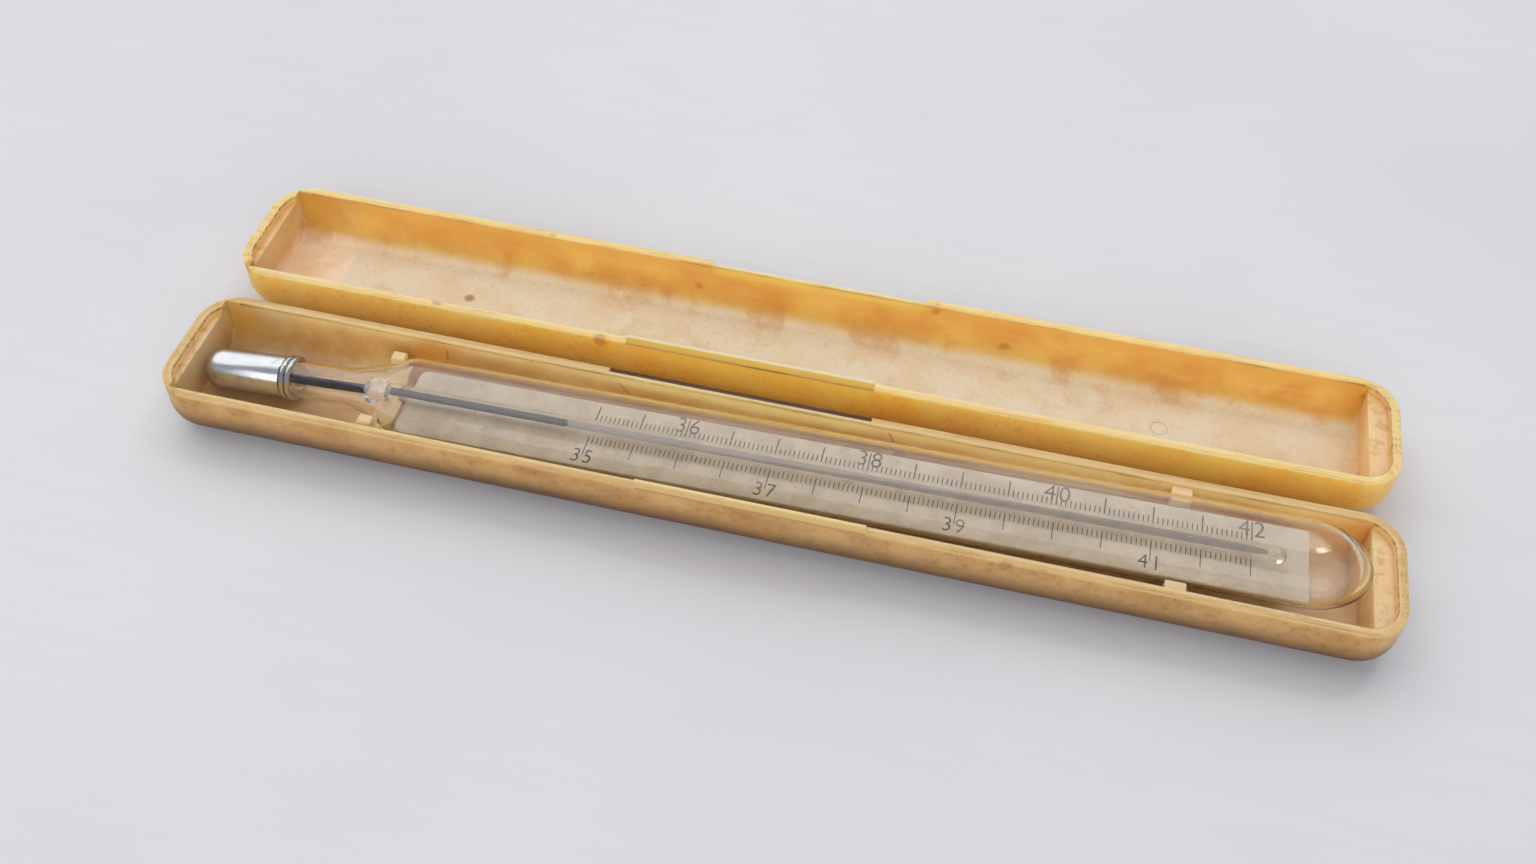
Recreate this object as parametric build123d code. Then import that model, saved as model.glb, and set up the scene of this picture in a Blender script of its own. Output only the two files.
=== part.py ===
"""Clinical mercury thermometer with a glass envelope, in its two-part moulded plastic case.

Frame: +X runs along the case from the bulb to the round end, +Y from the tray towards the
loose lid, +Z up. The origin lies on the table, under the middle of the two halves. All
lengths are in millimetres. The rest pose is the open case: the lid lies on its back behind
the tray, and the thermometer lies in the tray with its bulb end low.
"""

import os
from math import cos, pi, radians, sin, sqrt

from build123d import *

# Both case halves
case_length = 136.0
case_width = 16.2
half_height = 7.0
corner_radius = 4.5
belly_radius = 3.7
side_wall = 1.1
floor_wall = 1.0
left_end_wall = 2.0
right_end_wall = 3.3
ledge_drop = 0.9
halves_gap = 4.0

# Tongue and relief that line the halves up
tray_tongue_length = 25.0
tray_tongue_middle = 0.3
lid_tongue_length = 29.0
lid_tongue_middle = -4.6
tongue_height = 1.2
tongue_thickness = 0.4
tongue_clearance = 0.1
swing_clearance = 0.25
relief_end_clearance = 0.6

# Cradle and prongs under the neck, lugs and rib near the round end
cradle_length = 2.5
prong_length = 1.6
prong_thickness = 1.2
prong_drop = 1.35
prong_step_drop = 2.9
lug_inset = 20.0
lug_length = 2.2
lug_depth = 1.3
lug_drop = 0.3
lug_height = 2.6
rib_length = 1.6
seat_clearance = 0.12
clip_edge_break = 0.15

# How the thermometer lies in the tray
axis_side = -0.2
axis_drop = 1.28
pitch_degrees = 1.16
bulb_bend_degrees = 2.8

# Glass envelope, with its lengths from the bulb end to the round end
end_clearance = 0.3
body_half_width = 5.3
body_half_height = 3.65
envelope_wall = 0.4
neck_radius = 2.15
waist_half_width = 4.1
waist_half_height = 3.1
neck_length = 5.2
flare_length = 6.1
shoulder_length = 2.5
dome_length = 6.8
flare_bands = 4
dome_bands = 5

# Bulb, its collar and the mercury store
bulb_length = 10.1
bulb_radius = 2.22
bulb_wall = 0.3
nose_bands = 4
collar_length = 1.4
ring_radius = 2.4
ring_groove = 0.2
store_clearance = 0.02
store_channel_radius = 0.24

# Stem in the neck, bead with the constriction, and its glass pin
stem_radius = 0.8
stem_bore_radius = 0.26
bead_lead = 2.7
bead_length = 2.4
bead_radius = 1.25
bead_bevel = 0.5
joint_gap = 0.06
pin_radius = 0.16

# Capillary tube, with its moving mercury thread
capillary_lift = 0.35
capillary_half_width = 1.05
capillary_half_height = 0.75
capillary_end_gap = 2.0
capillary_bore_radius = 0.22
capillary_tip_glass = 2.0
thread_clearance = 0.03
thread_lead = 0.3
thread_length = 20.9
thread_meniscus = 0.1

# Scale plate behind the capillary
plate_lead = 0.6
plate_tail = 0.5
plate_thickness = 0.4
plate_clearance = 0.06
plate_corner_radius = 1.0
plate_tip_radius = 0.35

# One overrun for every cut
overrun = 1.0

# Places worked out from the sizes above
tray_middle_y = -(case_width + halves_gap) / 2
lid_middle_y = -tray_middle_y
inner_half_width = case_width / 2 - side_wall
well_left = -case_length / 2 + left_end_wall
well_right = case_length / 2 - right_end_wall
floor_level = floor_wall
rim_level = half_height
belly_inner_radius = belly_radius - floor_wall
axis_level = rim_level - axis_drop

# Places along the thermometer, from the bulb's tip to the round end
bulb_tip = well_left + end_clearance
bulb_end = bulb_tip + bulb_length
neck_start = bulb_end + collar_length
neck_end = neck_start + neck_length
waist = neck_end + flare_length
shoulder_end = waist + shoulder_length
dome_end = well_right - end_clearance
dome_start = dome_end - dome_length
bead_start = waist - bead_lead
bead_end = bead_start + bead_length
capillary_end = dome_start - capillary_end_gap
bore_end = capillary_end - capillary_tip_glass
thread_bottom = bead_end + thread_lead
thread_top = thread_bottom + thread_length
plate_start = shoulder_end - plate_lead
plate_end = dome_start + plate_tail
cradle_middle = waist - cradle_length / 2 + seat_clearance
lug_middle = well_right - lug_inset


def rounded_block(left, right, half_width, bottom, top, radius):
    """Block with rounded upright corners, from one level to another."""
    outline = Pos((left + right) / 2, 0, bottom) * RectangleRounded(right - left, 2 * half_width, radius)
    return extrude(outline, top - bottom)


def plain_block(left, right, near, far, bottom, top):
    """Square block between six places."""
    middle = Pos((left + right) / 2, (near + far) / 2, (bottom + top) / 2)
    return middle * Box(right - left, far - near, top - bottom)


def across(place_x, level):
    """Upright plane across the case, looking along it."""
    return Plane(origin=(place_x, 0, level), x_dir=(0, 1, 0), z_dir=(1, 0, 0))


def axis_level_at(place_x):
    """Level of the thermometer's axis at a place along the case."""
    return axis_level + place_x * sin(radians(pitch_degrees))


def moulded_half():
    """Plain half of the case: rounded trough with a ledge inside each end."""
    outer = rounded_block(-case_length / 2, case_length / 2, case_width / 2, 0, rim_level, corner_radius)
    belly = outer.faces().sort_by(Axis.Z)[0].edges()
    outer = fillet(belly, belly_radius)

    well = extrude(across(well_left, floor_level) * trough_profile(), well_right - well_left)

    upper = rounded_block(
        -case_length / 2 + side_wall, case_length / 2 - side_wall, inner_half_width,
        rim_level - ledge_drop, rim_level + overrun, corner_radius - side_wall,
    )
    half = outer - well - upper
    return half


def trough_profile():
    """Cross-section of the well, with its two round corners along the floor."""
    height = rim_level + overrun - floor_level
    box = Pos(0, height / 2) * Rectangle(2 * inner_half_width, height)
    low = box.vertices().group_by(Axis.Y)[0]
    return fillet(low, belly_inner_radius)


def tongue(middle, length):
    """Raised strip on the near rim, flush with the outside."""
    outside = -case_width / 2
    strip = plain_block(
        middle - length / 2, middle + length / 2, outside, outside + tongue_thickness,
        rim_level - ledge_drop, rim_level + tongue_height,
    )
    top_edges = strip.faces().sort_by(Axis.Z)[-1].edges()
    return chamfer(top_edges, tongue_clearance)


def tongue_relief(middle, length):
    """Rebate outside the far rim that takes the other half's tongue."""
    inside = case_width / 2 - tongue_thickness - swing_clearance
    reach = length / 2 + relief_end_clearance
    return plain_block(
        middle - reach, middle + reach, inside, case_width / 2 + overrun,
        rim_level - tongue_height - tongue_clearance, rim_level + overrun,
    )


def cradle():
    """Saddle under the glass neck with a prong at each side."""
    prong_inner = waist_half_width + abs(axis_side) + seat_clearance
    prong_outer = prong_inner + prong_thickness
    centre_level = axis_level_at(cradle_middle)
    saddle = plain_block(
        cradle_middle - cradle_length / 2, cradle_middle + cradle_length / 2,
        -prong_outer, prong_outer, floor_level - floor_wall / 2, rim_level - prong_step_drop,
    )
    prongs = plain_block(
        cradle_middle - prong_length / 2, cradle_middle + prong_length / 2,
        -prong_outer, prong_outer, rim_level - prong_step_drop, rim_level - prong_drop,
    )
    prongs = chamfer(prongs.faces().sort_by(Axis.Z)[-1].edges(), clip_edge_break)
    seat_half_height = waist_half_height + seat_clearance
    hollow = across(cradle_middle - cradle_length, centre_level) * Ellipse(prong_inner, seat_half_height)
    hollow = extrude(hollow, 2 * cradle_length)
    lane = plain_block(
        cradle_middle - cradle_length, cradle_middle + cradle_length,
        -prong_inner, prong_inner, centre_level, rim_level + overrun,
    )
    return saddle + prongs - hollow - lane


def end_lugs():
    """Two small lugs on the walls near the round end, and the rib that the glass rests on."""
    lug_top = rim_level - lug_drop
    inner = inner_half_width - lug_depth
    pieces = []
    for side in (-1, 1):
        near, far = sorted((side * inner, side * (inner_half_width + side_wall / 2)))
        lug = plain_block(
            lug_middle - lug_length / 2, lug_middle + lug_length / 2, near, far, lug_top - lug_height, lug_top
        )
        nose = lug.faces().sort_by(Axis.Y)[0 if side > 0 else -1].edges()
        pieces.append(chamfer(nose, clip_edge_break))
    rib_top = axis_level_at(lug_middle - rib_length / 2) - body_half_height - seat_clearance
    rib = plain_block(
        lug_middle - rib_length / 2, lug_middle + rib_length / 2,
        -inner_half_width + belly_inner_radius, inner_half_width - belly_inner_radius,
        floor_level - floor_wall / 2, rib_top,
    )
    pieces.append(rib)
    return pieces


def make_tray():
    """Half that holds the thermometer."""
    half = moulded_half() - tongue_relief(lid_tongue_middle, lid_tongue_length)
    half = half + tongue(tray_tongue_middle, tray_tongue_length) + cradle()
    for piece in end_lugs():
        half = half + piece
    return Pos(0, tray_middle_y, 0) * half


def make_lid():
    """Loose half, on its back behind the tray."""
    half = moulded_half() - tongue_relief(tray_tongue_middle, tray_tongue_length)
    half = half + tongue(lid_tongue_middle, lid_tongue_length)
    return Pos(0, lid_middle_y, 0) * half


def bent(piece):
    """Turn a piece of the bulb end down about the bead, as the blown joint is."""
    joint = Pos(bead_start, 0, 0)
    return joint * Rot(0, -bulb_bend_degrees, 0) * joint.inverse() * piece


def section_plane(place_x):
    """Upright plane across the thermometer, tilted where it crosses the bent end."""
    if place_x >= bead_start:
        return across(place_x, 0)
    turn = radians(bulb_bend_degrees)
    reach = place_x - bead_start
    origin = (bead_start + reach * cos(turn), 0, reach * sin(turn))
    return Plane(origin=origin, x_dir=(0, 1, 0), z_dir=(cos(turn), 0, sin(turn)))


def ring(place_x, half_width, half_height_here):
    """Oval outline across the thermometer."""
    return (section_plane(place_x) * Ellipse(half_width, half_height_here)).face()


def flare(inset):
    """Round neck that swells to the waist and the oval body, drawn in by an inset."""
    rings = [ring(neck_start, neck_radius - inset, neck_radius - inset)]
    for step in range(flare_bands + 1):
        share = step / flare_bands
        swell = (1 - cos(share * pi / 2)) if step < flare_bands else 1
        half_width = neck_radius + (waist_half_width - neck_radius) * swell - inset
        half_height_here = neck_radius + (waist_half_height - neck_radius) * swell - inset
        rings.append(ring(neck_end + flare_length * share, half_width, half_height_here))
    for share in (0.5, 1):
        swell = sin(share * pi / 2)
        half_width = waist_half_width + (body_half_width - waist_half_width) * swell - inset
        half_height_here = waist_half_height + (body_half_height - waist_half_height) * swell - inset
        rings.append(ring(waist + shoulder_length * share, half_width, half_height_here))
    return loft(rings, ruled=True)


def oval_body(inset):
    """Oval body with its round end, drawn in by an inset."""
    rings = [ring(shoulder_end, body_half_width - inset, body_half_height - inset)]
    for step in range(dome_bands):
        turn = step / dome_bands * pi / 2
        place_x = dome_start + (dome_length - inset) * sin(turn)
        rings.append(
            ring(place_x, (body_half_width - inset) * cos(turn), (body_half_height - inset) * cos(turn))
        )
    return loft(rings + [Vertex(dome_end - inset, 0, 0)], ruled=True)


def make_envelope():
    """Outer glass: neck, flare, oval body and round end."""
    neck_part = flare(0) - flare(envelope_wall)
    body_part = oval_body(0) - oval_body(envelope_wall)
    return neck_part + body_part


def bulb_outline(tip, end, radius):
    """Solid of revolution with a round tip, about the X axis."""
    corners = [(tip, 0)]
    for step in range(1, nose_bands + 1):
        turn = step / nose_bands * pi / 2
        corners.append((tip + radius * (1 - cos(turn)), radius * sin(turn)))
    outline = make_face(Polyline(*corners, (end, radius), (end, 0), close=True))
    return revolve(outline, Axis.X)


def rod(start, end, radius):
    """Round rod along the X axis."""
    return Pos((start + end) / 2, 0, 0) * Rot(0, 90, 0) * Cylinder(radius, end - start)


def make_bulb():
    """Thin glass bulb, closed at the collar but for the bore."""
    outer = bulb_outline(bulb_tip, bulb_end, bulb_radius)
    hollow = bulb_outline(bulb_tip + bulb_wall, bulb_end - bulb_wall, bulb_radius - bulb_wall)
    bore = rod(bulb_end - bulb_wall - overrun, bulb_end + overrun, stem_bore_radius)
    return bent(outer - hollow - bore)


def make_collar():
    """Fused glass collar between bulb and neck, with a groove between its two rings."""
    collar = rod(bulb_end, neck_start, ring_radius)
    collar = chamfer(collar.edges().filter_by(GeomType.CIRCLE), ring_groove)
    middle = (bulb_end + neck_start) / 2
    groove = rod(middle - ring_groove / 2, middle + ring_groove / 2, ring_radius + overrun)
    groove = groove - rod(middle - overrun, middle + overrun, ring_radius - ring_groove)
    bore = rod(bulb_end - overrun, neck_start + overrun, stem_bore_radius)
    return bent(collar - groove - bore)


def make_store():
    """Mercury in the bulb and up the stem, as far as the constriction."""
    body = bulb_outline(
        bulb_tip + bulb_wall + store_clearance, bulb_end - bulb_wall - store_clearance,
        bulb_radius - bulb_wall - store_clearance,
    )
    column = rod(bulb_end - bulb_wall - overrun, bead_start - joint_gap, store_channel_radius)
    return bent(body + column)


def make_stem():
    """Thick-walled glass stem inside the neck."""
    tube = rod(neck_start, bead_start - joint_gap, stem_radius)
    bore = rod(neck_start - overrun, bead_start + overrun, stem_bore_radius)
    return bent(tube - bore)


def make_bead():
    """Fused bead that joins stem and capillary tube round the constriction."""
    ball = rod(bead_start, bead_end, bead_radius)
    ball = chamfer(ball.edges().filter_by(GeomType.CIRCLE), bead_bevel)
    return ball - rod(bead_start - overrun, bead_end + overrun, pin_radius + store_clearance)


def make_pin():
    """Glass pin that narrows the way between the mercury store and the thread."""
    return rod(bead_start, bead_end - joint_gap, pin_radius)


def make_capillary():
    """Oval capillary tube on the scale plate, closed and rounded at its upper end."""
    outline = Ellipse(capillary_half_width, capillary_half_height)
    straight_end = capillary_end - capillary_half_width
    tube = extrude(across(bead_end, capillary_lift) * outline, straight_end - bead_end)
    cap = scale(Sphere(1), (capillary_half_width, capillary_half_width, capillary_half_height))
    tube = tube + Pos(straight_end, 0, capillary_lift) * split(cap, Plane.YZ, keep=Keep.TOP)
    bore = Pos(0, 0, capillary_lift) * rod(bead_end - overrun, bore_end, capillary_bore_radius)
    return tube - bore


def make_thread():
    """Slug of mercury above the constriction, with a rounded top."""
    radius = capillary_bore_radius - thread_clearance
    slug = rod(thread_bottom, thread_top, radius)
    slug = chamfer(slug.edges().filter_by(GeomType.CIRCLE).sort_by(Axis.X)[-1], thread_meniscus)
    return Pos(0, 0, capillary_lift) * slug


def make_plate():
    """Flat scale plate, held by its edges against the inside of the envelope."""
    top = capillary_lift - capillary_half_height - thread_clearance
    lowest = abs(top - plate_thickness)
    inner_width = body_half_width - envelope_wall
    inner_height = body_half_height - envelope_wall
    half_width = inner_width * sqrt(1 - (lowest / inner_height) ** 2) - plate_clearance
    outline = Rectangle(plate_end - plate_start, 2 * half_width)
    outline = fillet(outline.vertices().group_by(Axis.X)[0], plate_corner_radius)
    outline = fillet(outline.vertices().group_by(Axis.X)[-1], plate_tip_radius)
    return extrude(Pos((plate_start + plate_end) / 2, 0, top - plate_thickness) * outline, plate_thickness)


def in_tray(piece):
    """Lay a piece of the thermometer in the tray, bulb end low."""
    return Pos(0, tray_middle_y + axis_side, axis_level) * Rot(0, -pitch_degrees, 0) * piece


def all_nodes():
    """Every piece of the object, by name."""
    return {
        "case_tray": make_tray(),
        "case_lid": make_lid(),
        "glass_envelope": in_tray(make_envelope()),
        "glass_bulb": in_tray(make_bulb()),
        "bulb_collar": in_tray(make_collar()),
        "neck_stem": in_tray(make_stem()),
        "constriction_bead": in_tray(make_bead()),
        "constriction_pin": in_tray(make_pin()),
        "capillary_tube": in_tray(make_capillary()),
        "scale_plate": in_tray(make_plate()),
        "mercury_store": in_tray(make_store()),
        "mercury_thread": in_tray(make_thread()),
    }


os.makedirs("parts", exist_ok=True)
for node_name, node_shape in all_nodes().items():
    export_step(node_shape, f"parts/{node_name}.step")
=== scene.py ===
"""Looks of a clinical mercury thermometer lying in its open two-part moulded case.

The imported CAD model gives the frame: +X from the bulb to the round end, +Y from the tray to the
loose lid, +Z up, metres. Sizes and places in this file are in millimetres, and they are turned
into metres when a mesh is finished. Only the studio's table and lamps are in metres.
"""

import logging
import math
from dataclasses import dataclass
from enum import Enum

import bmesh
import bpy
from mathutils import Matrix, Vector

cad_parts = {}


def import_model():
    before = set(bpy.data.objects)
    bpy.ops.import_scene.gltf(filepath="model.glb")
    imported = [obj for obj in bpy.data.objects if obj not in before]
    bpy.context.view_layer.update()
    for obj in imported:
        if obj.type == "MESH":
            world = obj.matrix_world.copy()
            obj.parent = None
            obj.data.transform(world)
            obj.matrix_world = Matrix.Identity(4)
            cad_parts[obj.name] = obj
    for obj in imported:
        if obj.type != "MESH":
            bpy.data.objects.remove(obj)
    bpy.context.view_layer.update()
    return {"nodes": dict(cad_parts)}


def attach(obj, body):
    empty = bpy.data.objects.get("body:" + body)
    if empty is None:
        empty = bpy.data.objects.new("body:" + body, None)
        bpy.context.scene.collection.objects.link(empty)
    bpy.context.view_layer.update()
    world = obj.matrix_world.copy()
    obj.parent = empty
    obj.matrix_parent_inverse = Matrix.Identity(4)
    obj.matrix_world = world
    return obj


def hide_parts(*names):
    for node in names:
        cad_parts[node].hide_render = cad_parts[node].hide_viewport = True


MM = 0.001
LOG = logging.getLogger("thermometer")

Place = tuple[float, float, float]
Tone = tuple[float, float, float, float]
Socket = bpy.types.NodeSocket
Material = bpy.types.Material


def tone(red: float, green: float, blue: float) -> Tone:
    """Linear colour from display values between 0 and 255.

    Args:
        red, green, blue: display values.

    Returns:
        The linear colour with full alpha.
    """
    def straight(value: float) -> float:
        """One display value made linear."""
        share = value / 255
        return share / 12.92 if share <= 0.04045 else ((share + 0.055) / 1.055) ** 2.4

    return (straight(red), straight(green), straight(blue), 1.0)


class Recipe:
    """One material, built a node at a time, with places in millimetres."""

    def __init__(self, name: str) -> None:
        """Starts an empty material.

        Args:
            name: its name.
        """
        self.material = bpy.data.materials.new(name)
        self.material.use_nodes = True
        self.tree = self.material.node_tree
        self.tree.nodes.clear()
        self.output = self.node("ShaderNodeOutputMaterial")
        self.coordinates = self.node("ShaderNodeTexCoord")
        self.place = self.vector("SCALE", self.coordinates.outputs["Object"], scale=1 / MM)

    def node(self, kind: str, **settings: object) -> bpy.types.Node:
        """Adds a node and sets its properties.

        Args:
            kind: Blender's name for the node.
            settings: its properties.

        Returns:
            The node.
        """
        made = self.tree.nodes.new(kind)
        for key, value in settings.items():
            setattr(made, key, value)
        return made

    def feed(self, socket: Socket, value: object) -> None:
        """Links a socket to another, or sets its value.

        Args:
            socket: the input.
            value: a socket, a constant, or None to leave the input as it is.
        """
        if isinstance(value, Socket):
            self.tree.links.new(value, socket)
        elif value is not None:
            socket.default_value = value

    def math(self, kind: str, first: object, second: object = None, clamp: bool = False) -> Socket:
        """Adds a Math node on one or two values.

        Args:
            kind: its operation.
            first, second: sockets or numbers.
            clamp: whether the result stays between 0 and 1.

        Returns:
            The result.
        """
        made = self.node("ShaderNodeMath", operation=kind, use_clamp=clamp)
        self.feed(made.inputs[0], first)
        self.feed(made.inputs[1], second)
        return made.outputs[0]

    def vector(self, kind: str, first: object, second: object = None, scale: float = 1.0) -> Socket:
        """Adds a Vector Math node.

        Args:
            kind: its operation.
            first, second: sockets or vectors.
            scale: factor, where the operation is SCALE.

        Returns:
            The result, a number where the operation is DISTANCE.
        """
        made = self.node("ShaderNodeVectorMath", operation=kind)
        self.feed(made.inputs[0], first)
        self.feed(made.inputs[1], second)
        if kind == "SCALE":
            made.inputs["Scale"].default_value = scale
        return made.outputs["Value"] if kind == "DISTANCE" else made.outputs[0]

    def parts(self) -> tuple[Socket, ...]:
        """Splits the place.

        Returns:
            Its x, y and z.
        """
        made = self.node("ShaderNodeSeparateXYZ")
        self.feed(made.inputs[0], self.place)
        return made.outputs[0], made.outputs[1], made.outputs[2]

    def turned(self, stretch: Place, angle: Place = (0.0, 0.0, 0.0)) -> Socket:
        """Turns and stretches the place, for a pattern that runs one way.

        Args:
            stretch: factor along each axis.
            angle: turn about each axis, in radians.

        Returns:
            The changed place.
        """
        made = self.node("ShaderNodeMapping")
        self.feed(made.inputs["Vector"], self.place)
        made.inputs["Rotation"].default_value = angle
        made.inputs["Scale"].default_value = stretch
        return made.outputs[0]

    def noise(self, scale: float, detail: float = 3.0, rough: float = 0.55, warp: float = 0.0,
              vector: Socket | None = None) -> Socket:
        """Cloudy noise between 0 and 1.

        Args:
            scale: features to a millimetre.
            detail: how many finer layers it has.
            rough: strength of the finer layers.
            warp: how much it is bent by itself.
            vector: what it is laid on, the place by default.

        Returns:
            The noise.
        """
        made = self.node("ShaderNodeTexNoise")
        self.feed(made.inputs["Vector"], self.place if vector is None else vector)
        made.inputs["Scale"].default_value = scale
        made.inputs["Detail"].default_value = detail
        made.inputs["Roughness"].default_value = rough
        made.inputs["Distortion"].default_value = warp
        return made.outputs[0]

    def cells(self, scale: float) -> Socket:
        """Measures the distance to the nearest of many scattered points.

        Args:
            scale: points to a millimetre.

        Returns:
            The distance.
        """
        made = self.node("ShaderNodeTexVoronoi")
        self.feed(made.inputs["Vector"], self.place)
        made.inputs["Scale"].default_value = scale
        return made.outputs["Distance"]

    def band(self, value: object, start: float, stop: float, low: float = 0.0,
             high: float = 1.0) -> Socket:
        """Makes a smooth step.

        Args:
            value: what is read.
            start, stop: values where the step begins and ends, in either order.
            low, high: result at start and at stop.

        Returns:
            The result.
        """
        made = self.node("ShaderNodeMapRange", interpolation_type="SMOOTHSTEP")
        self.feed(made.inputs["Value"], value)
        if start > stop:
            start, stop, low, high = stop, start, high, low
        made.inputs["From Min"].default_value = start
        made.inputs["From Max"].default_value = stop
        made.inputs["To Min"].default_value = low
        made.inputs["To Max"].default_value = high
        return made.outputs[0]

    def window(self, value: object, low: float, high: float, soft: float) -> Socket:
        """Picks out a range of values.

        Args:
            value: what is read.
            low, high: ends of the range.
            soft: width of its soft sides.

        Returns:
            One within the range and nothing far from it.
        """
        rise = self.band(value, low - soft, low)
        fall = self.band(value, high, high + soft, 1.0, 0.0)
        return self.product(rise, fall)

    def spot(self, centre: Place, radius: float, soft: float) -> Socket:
        """One within a ball about a place, fading to nothing outside it."""
        reach = self.vector("DISTANCE", self.place, centre)
        return self.band(reach, radius, radius + soft, 1.0, 0.0)

    def mix(self, share: object, first: object, second: object, kind: str = "MIX") -> Socket:
        """Mixes two colours; a Mix node keeps its colours behind numbers and vectors.

        Args:
            share: share of the second colour.
            first, second: the colours.
            kind: how they are mixed.

        Returns:
            The mixed colour.
        """
        made = self.node("ShaderNodeMix", data_type="RGBA", blend_type=kind)
        self.feed(made.inputs[0], share)
        self.feed(made.inputs[6], first)
        self.feed(made.inputs[7], second)
        return made.outputs[2]

    def product(self, *values: object) -> Socket:
        """Multiplies values.

        Args:
            values: sockets or numbers.

        Returns:
            Their product.
        """
        result = values[0]
        for value in values[1:]:
            result = self.math("MULTIPLY", result, value)
        return result

    def most(self, *values: object) -> Socket:
        """Compares values.

        Args:
            values: sockets or numbers.

        Returns:
            The largest of them.
        """
        result = values[0]
        for value in values[1:]:
            result = self.math("MAXIMUM", result, value)
        return result

    def bump(self, height: object, depth_mm: float, strength: float = 1.0,
             under: Socket | None = None) -> Socket:
        """Adds a bump, over another where one is given.

        Args:
            height: its height between 0 and 1.
            depth_mm: what a height of 1 stands for.
            strength: share of the bump that shows.
            under: the bump beneath it.

        Returns:
            The bent normal.
        """
        made = self.node("ShaderNodeBump")
        made.inputs["Strength"].default_value = strength
        made.inputs["Distance"].default_value = depth_mm * MM
        self.feed(made.inputs["Height"], height)
        self.feed(made.inputs["Normal"], under)
        return made.outputs[0]

    def facing(self) -> Socket:
        """Nothing where the surface faces the eye, one where it turns away."""
        return self.node("ShaderNodeLayerWeight").outputs["Facing"]

    def surface(self, **values: object) -> Socket:
        """Adds a Principled surface.

        Args:
            values: what its sockets get, by their names with _ for spaces.

        Returns:
            The shader.
        """
        made = self.node("ShaderNodeBsdfPrincipled")
        for key, value in values.items():
            self.feed(made.inputs[key.replace("_", " ")], value)
        return made.outputs[0]

    def blend(self, share: object, first: Socket, second: Socket) -> Socket:
        """Mixes two shaders.

        Args:
            share: share of the second one.
            first, second: the shaders.

        Returns:
            The mixed shader.
        """
        made = self.node("ShaderNodeMixShader")
        for socket, value in zip(made.inputs, (share, first, second)):
            self.feed(socket, value)
        return made.outputs[0]

    def close(self, shader: Socket) -> Material:
        """Links the shader to the output and hands back the material."""
        self.tree.links.new(shader, self.output.inputs["Surface"])
        return self.material


class Half(Enum):
    """The two mouldings of the case, with the level of their middle line along Y."""

    TRAY = -10.1
    LID = 10.1


@dataclass(frozen=True)
class CaseSizes:
    """Sizes and places of the mouldings that their finish follows.

    A stretch is its lowest and highest place along X, and a tongue its middle and half its length.
    """

    half_length: float = 68.0
    half_width: float = 8.1
    corner: float = 4.5
    belly: float = 3.7
    wall: float = 1.1
    floor: float = 1.0
    rim: float = 7.0
    ledge: float = 6.1
    well_round: float = 2.7
    well: tuple[float, float] = (-66.0, 64.7)
    thin_stretch: tuple[float, float] = (-66.02, -58.0)
    cradle: tuple[float, float] = (-45.4, -42.6)
    lugs: tuple[float, float] = (43.5, 45.9)
    tray_tongue: tuple[float, float] = (0.3, 12.5)
    lid_tongue: tuple[float, float] = (-4.6, 14.5)
    tongue_top: float = 8.2

    @property
    def inner(self) -> float:
        """Half the width between the side walls."""
        return self.half_width - self.wall


@dataclass(frozen=True)
class Ground:
    """Places on one half, and the patterns that the layers of its plastic share."""

    r: Recipe
    x: Socket
    y: Socket
    z: Socket
    along: Socket
    side: Socket
    depth: Socket
    thin_corner: Socket
    inside: Socket
    clouds: Socket
    patches: Socket
    grain: Socket
    streaks: Socket
    specks: Socket


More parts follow.
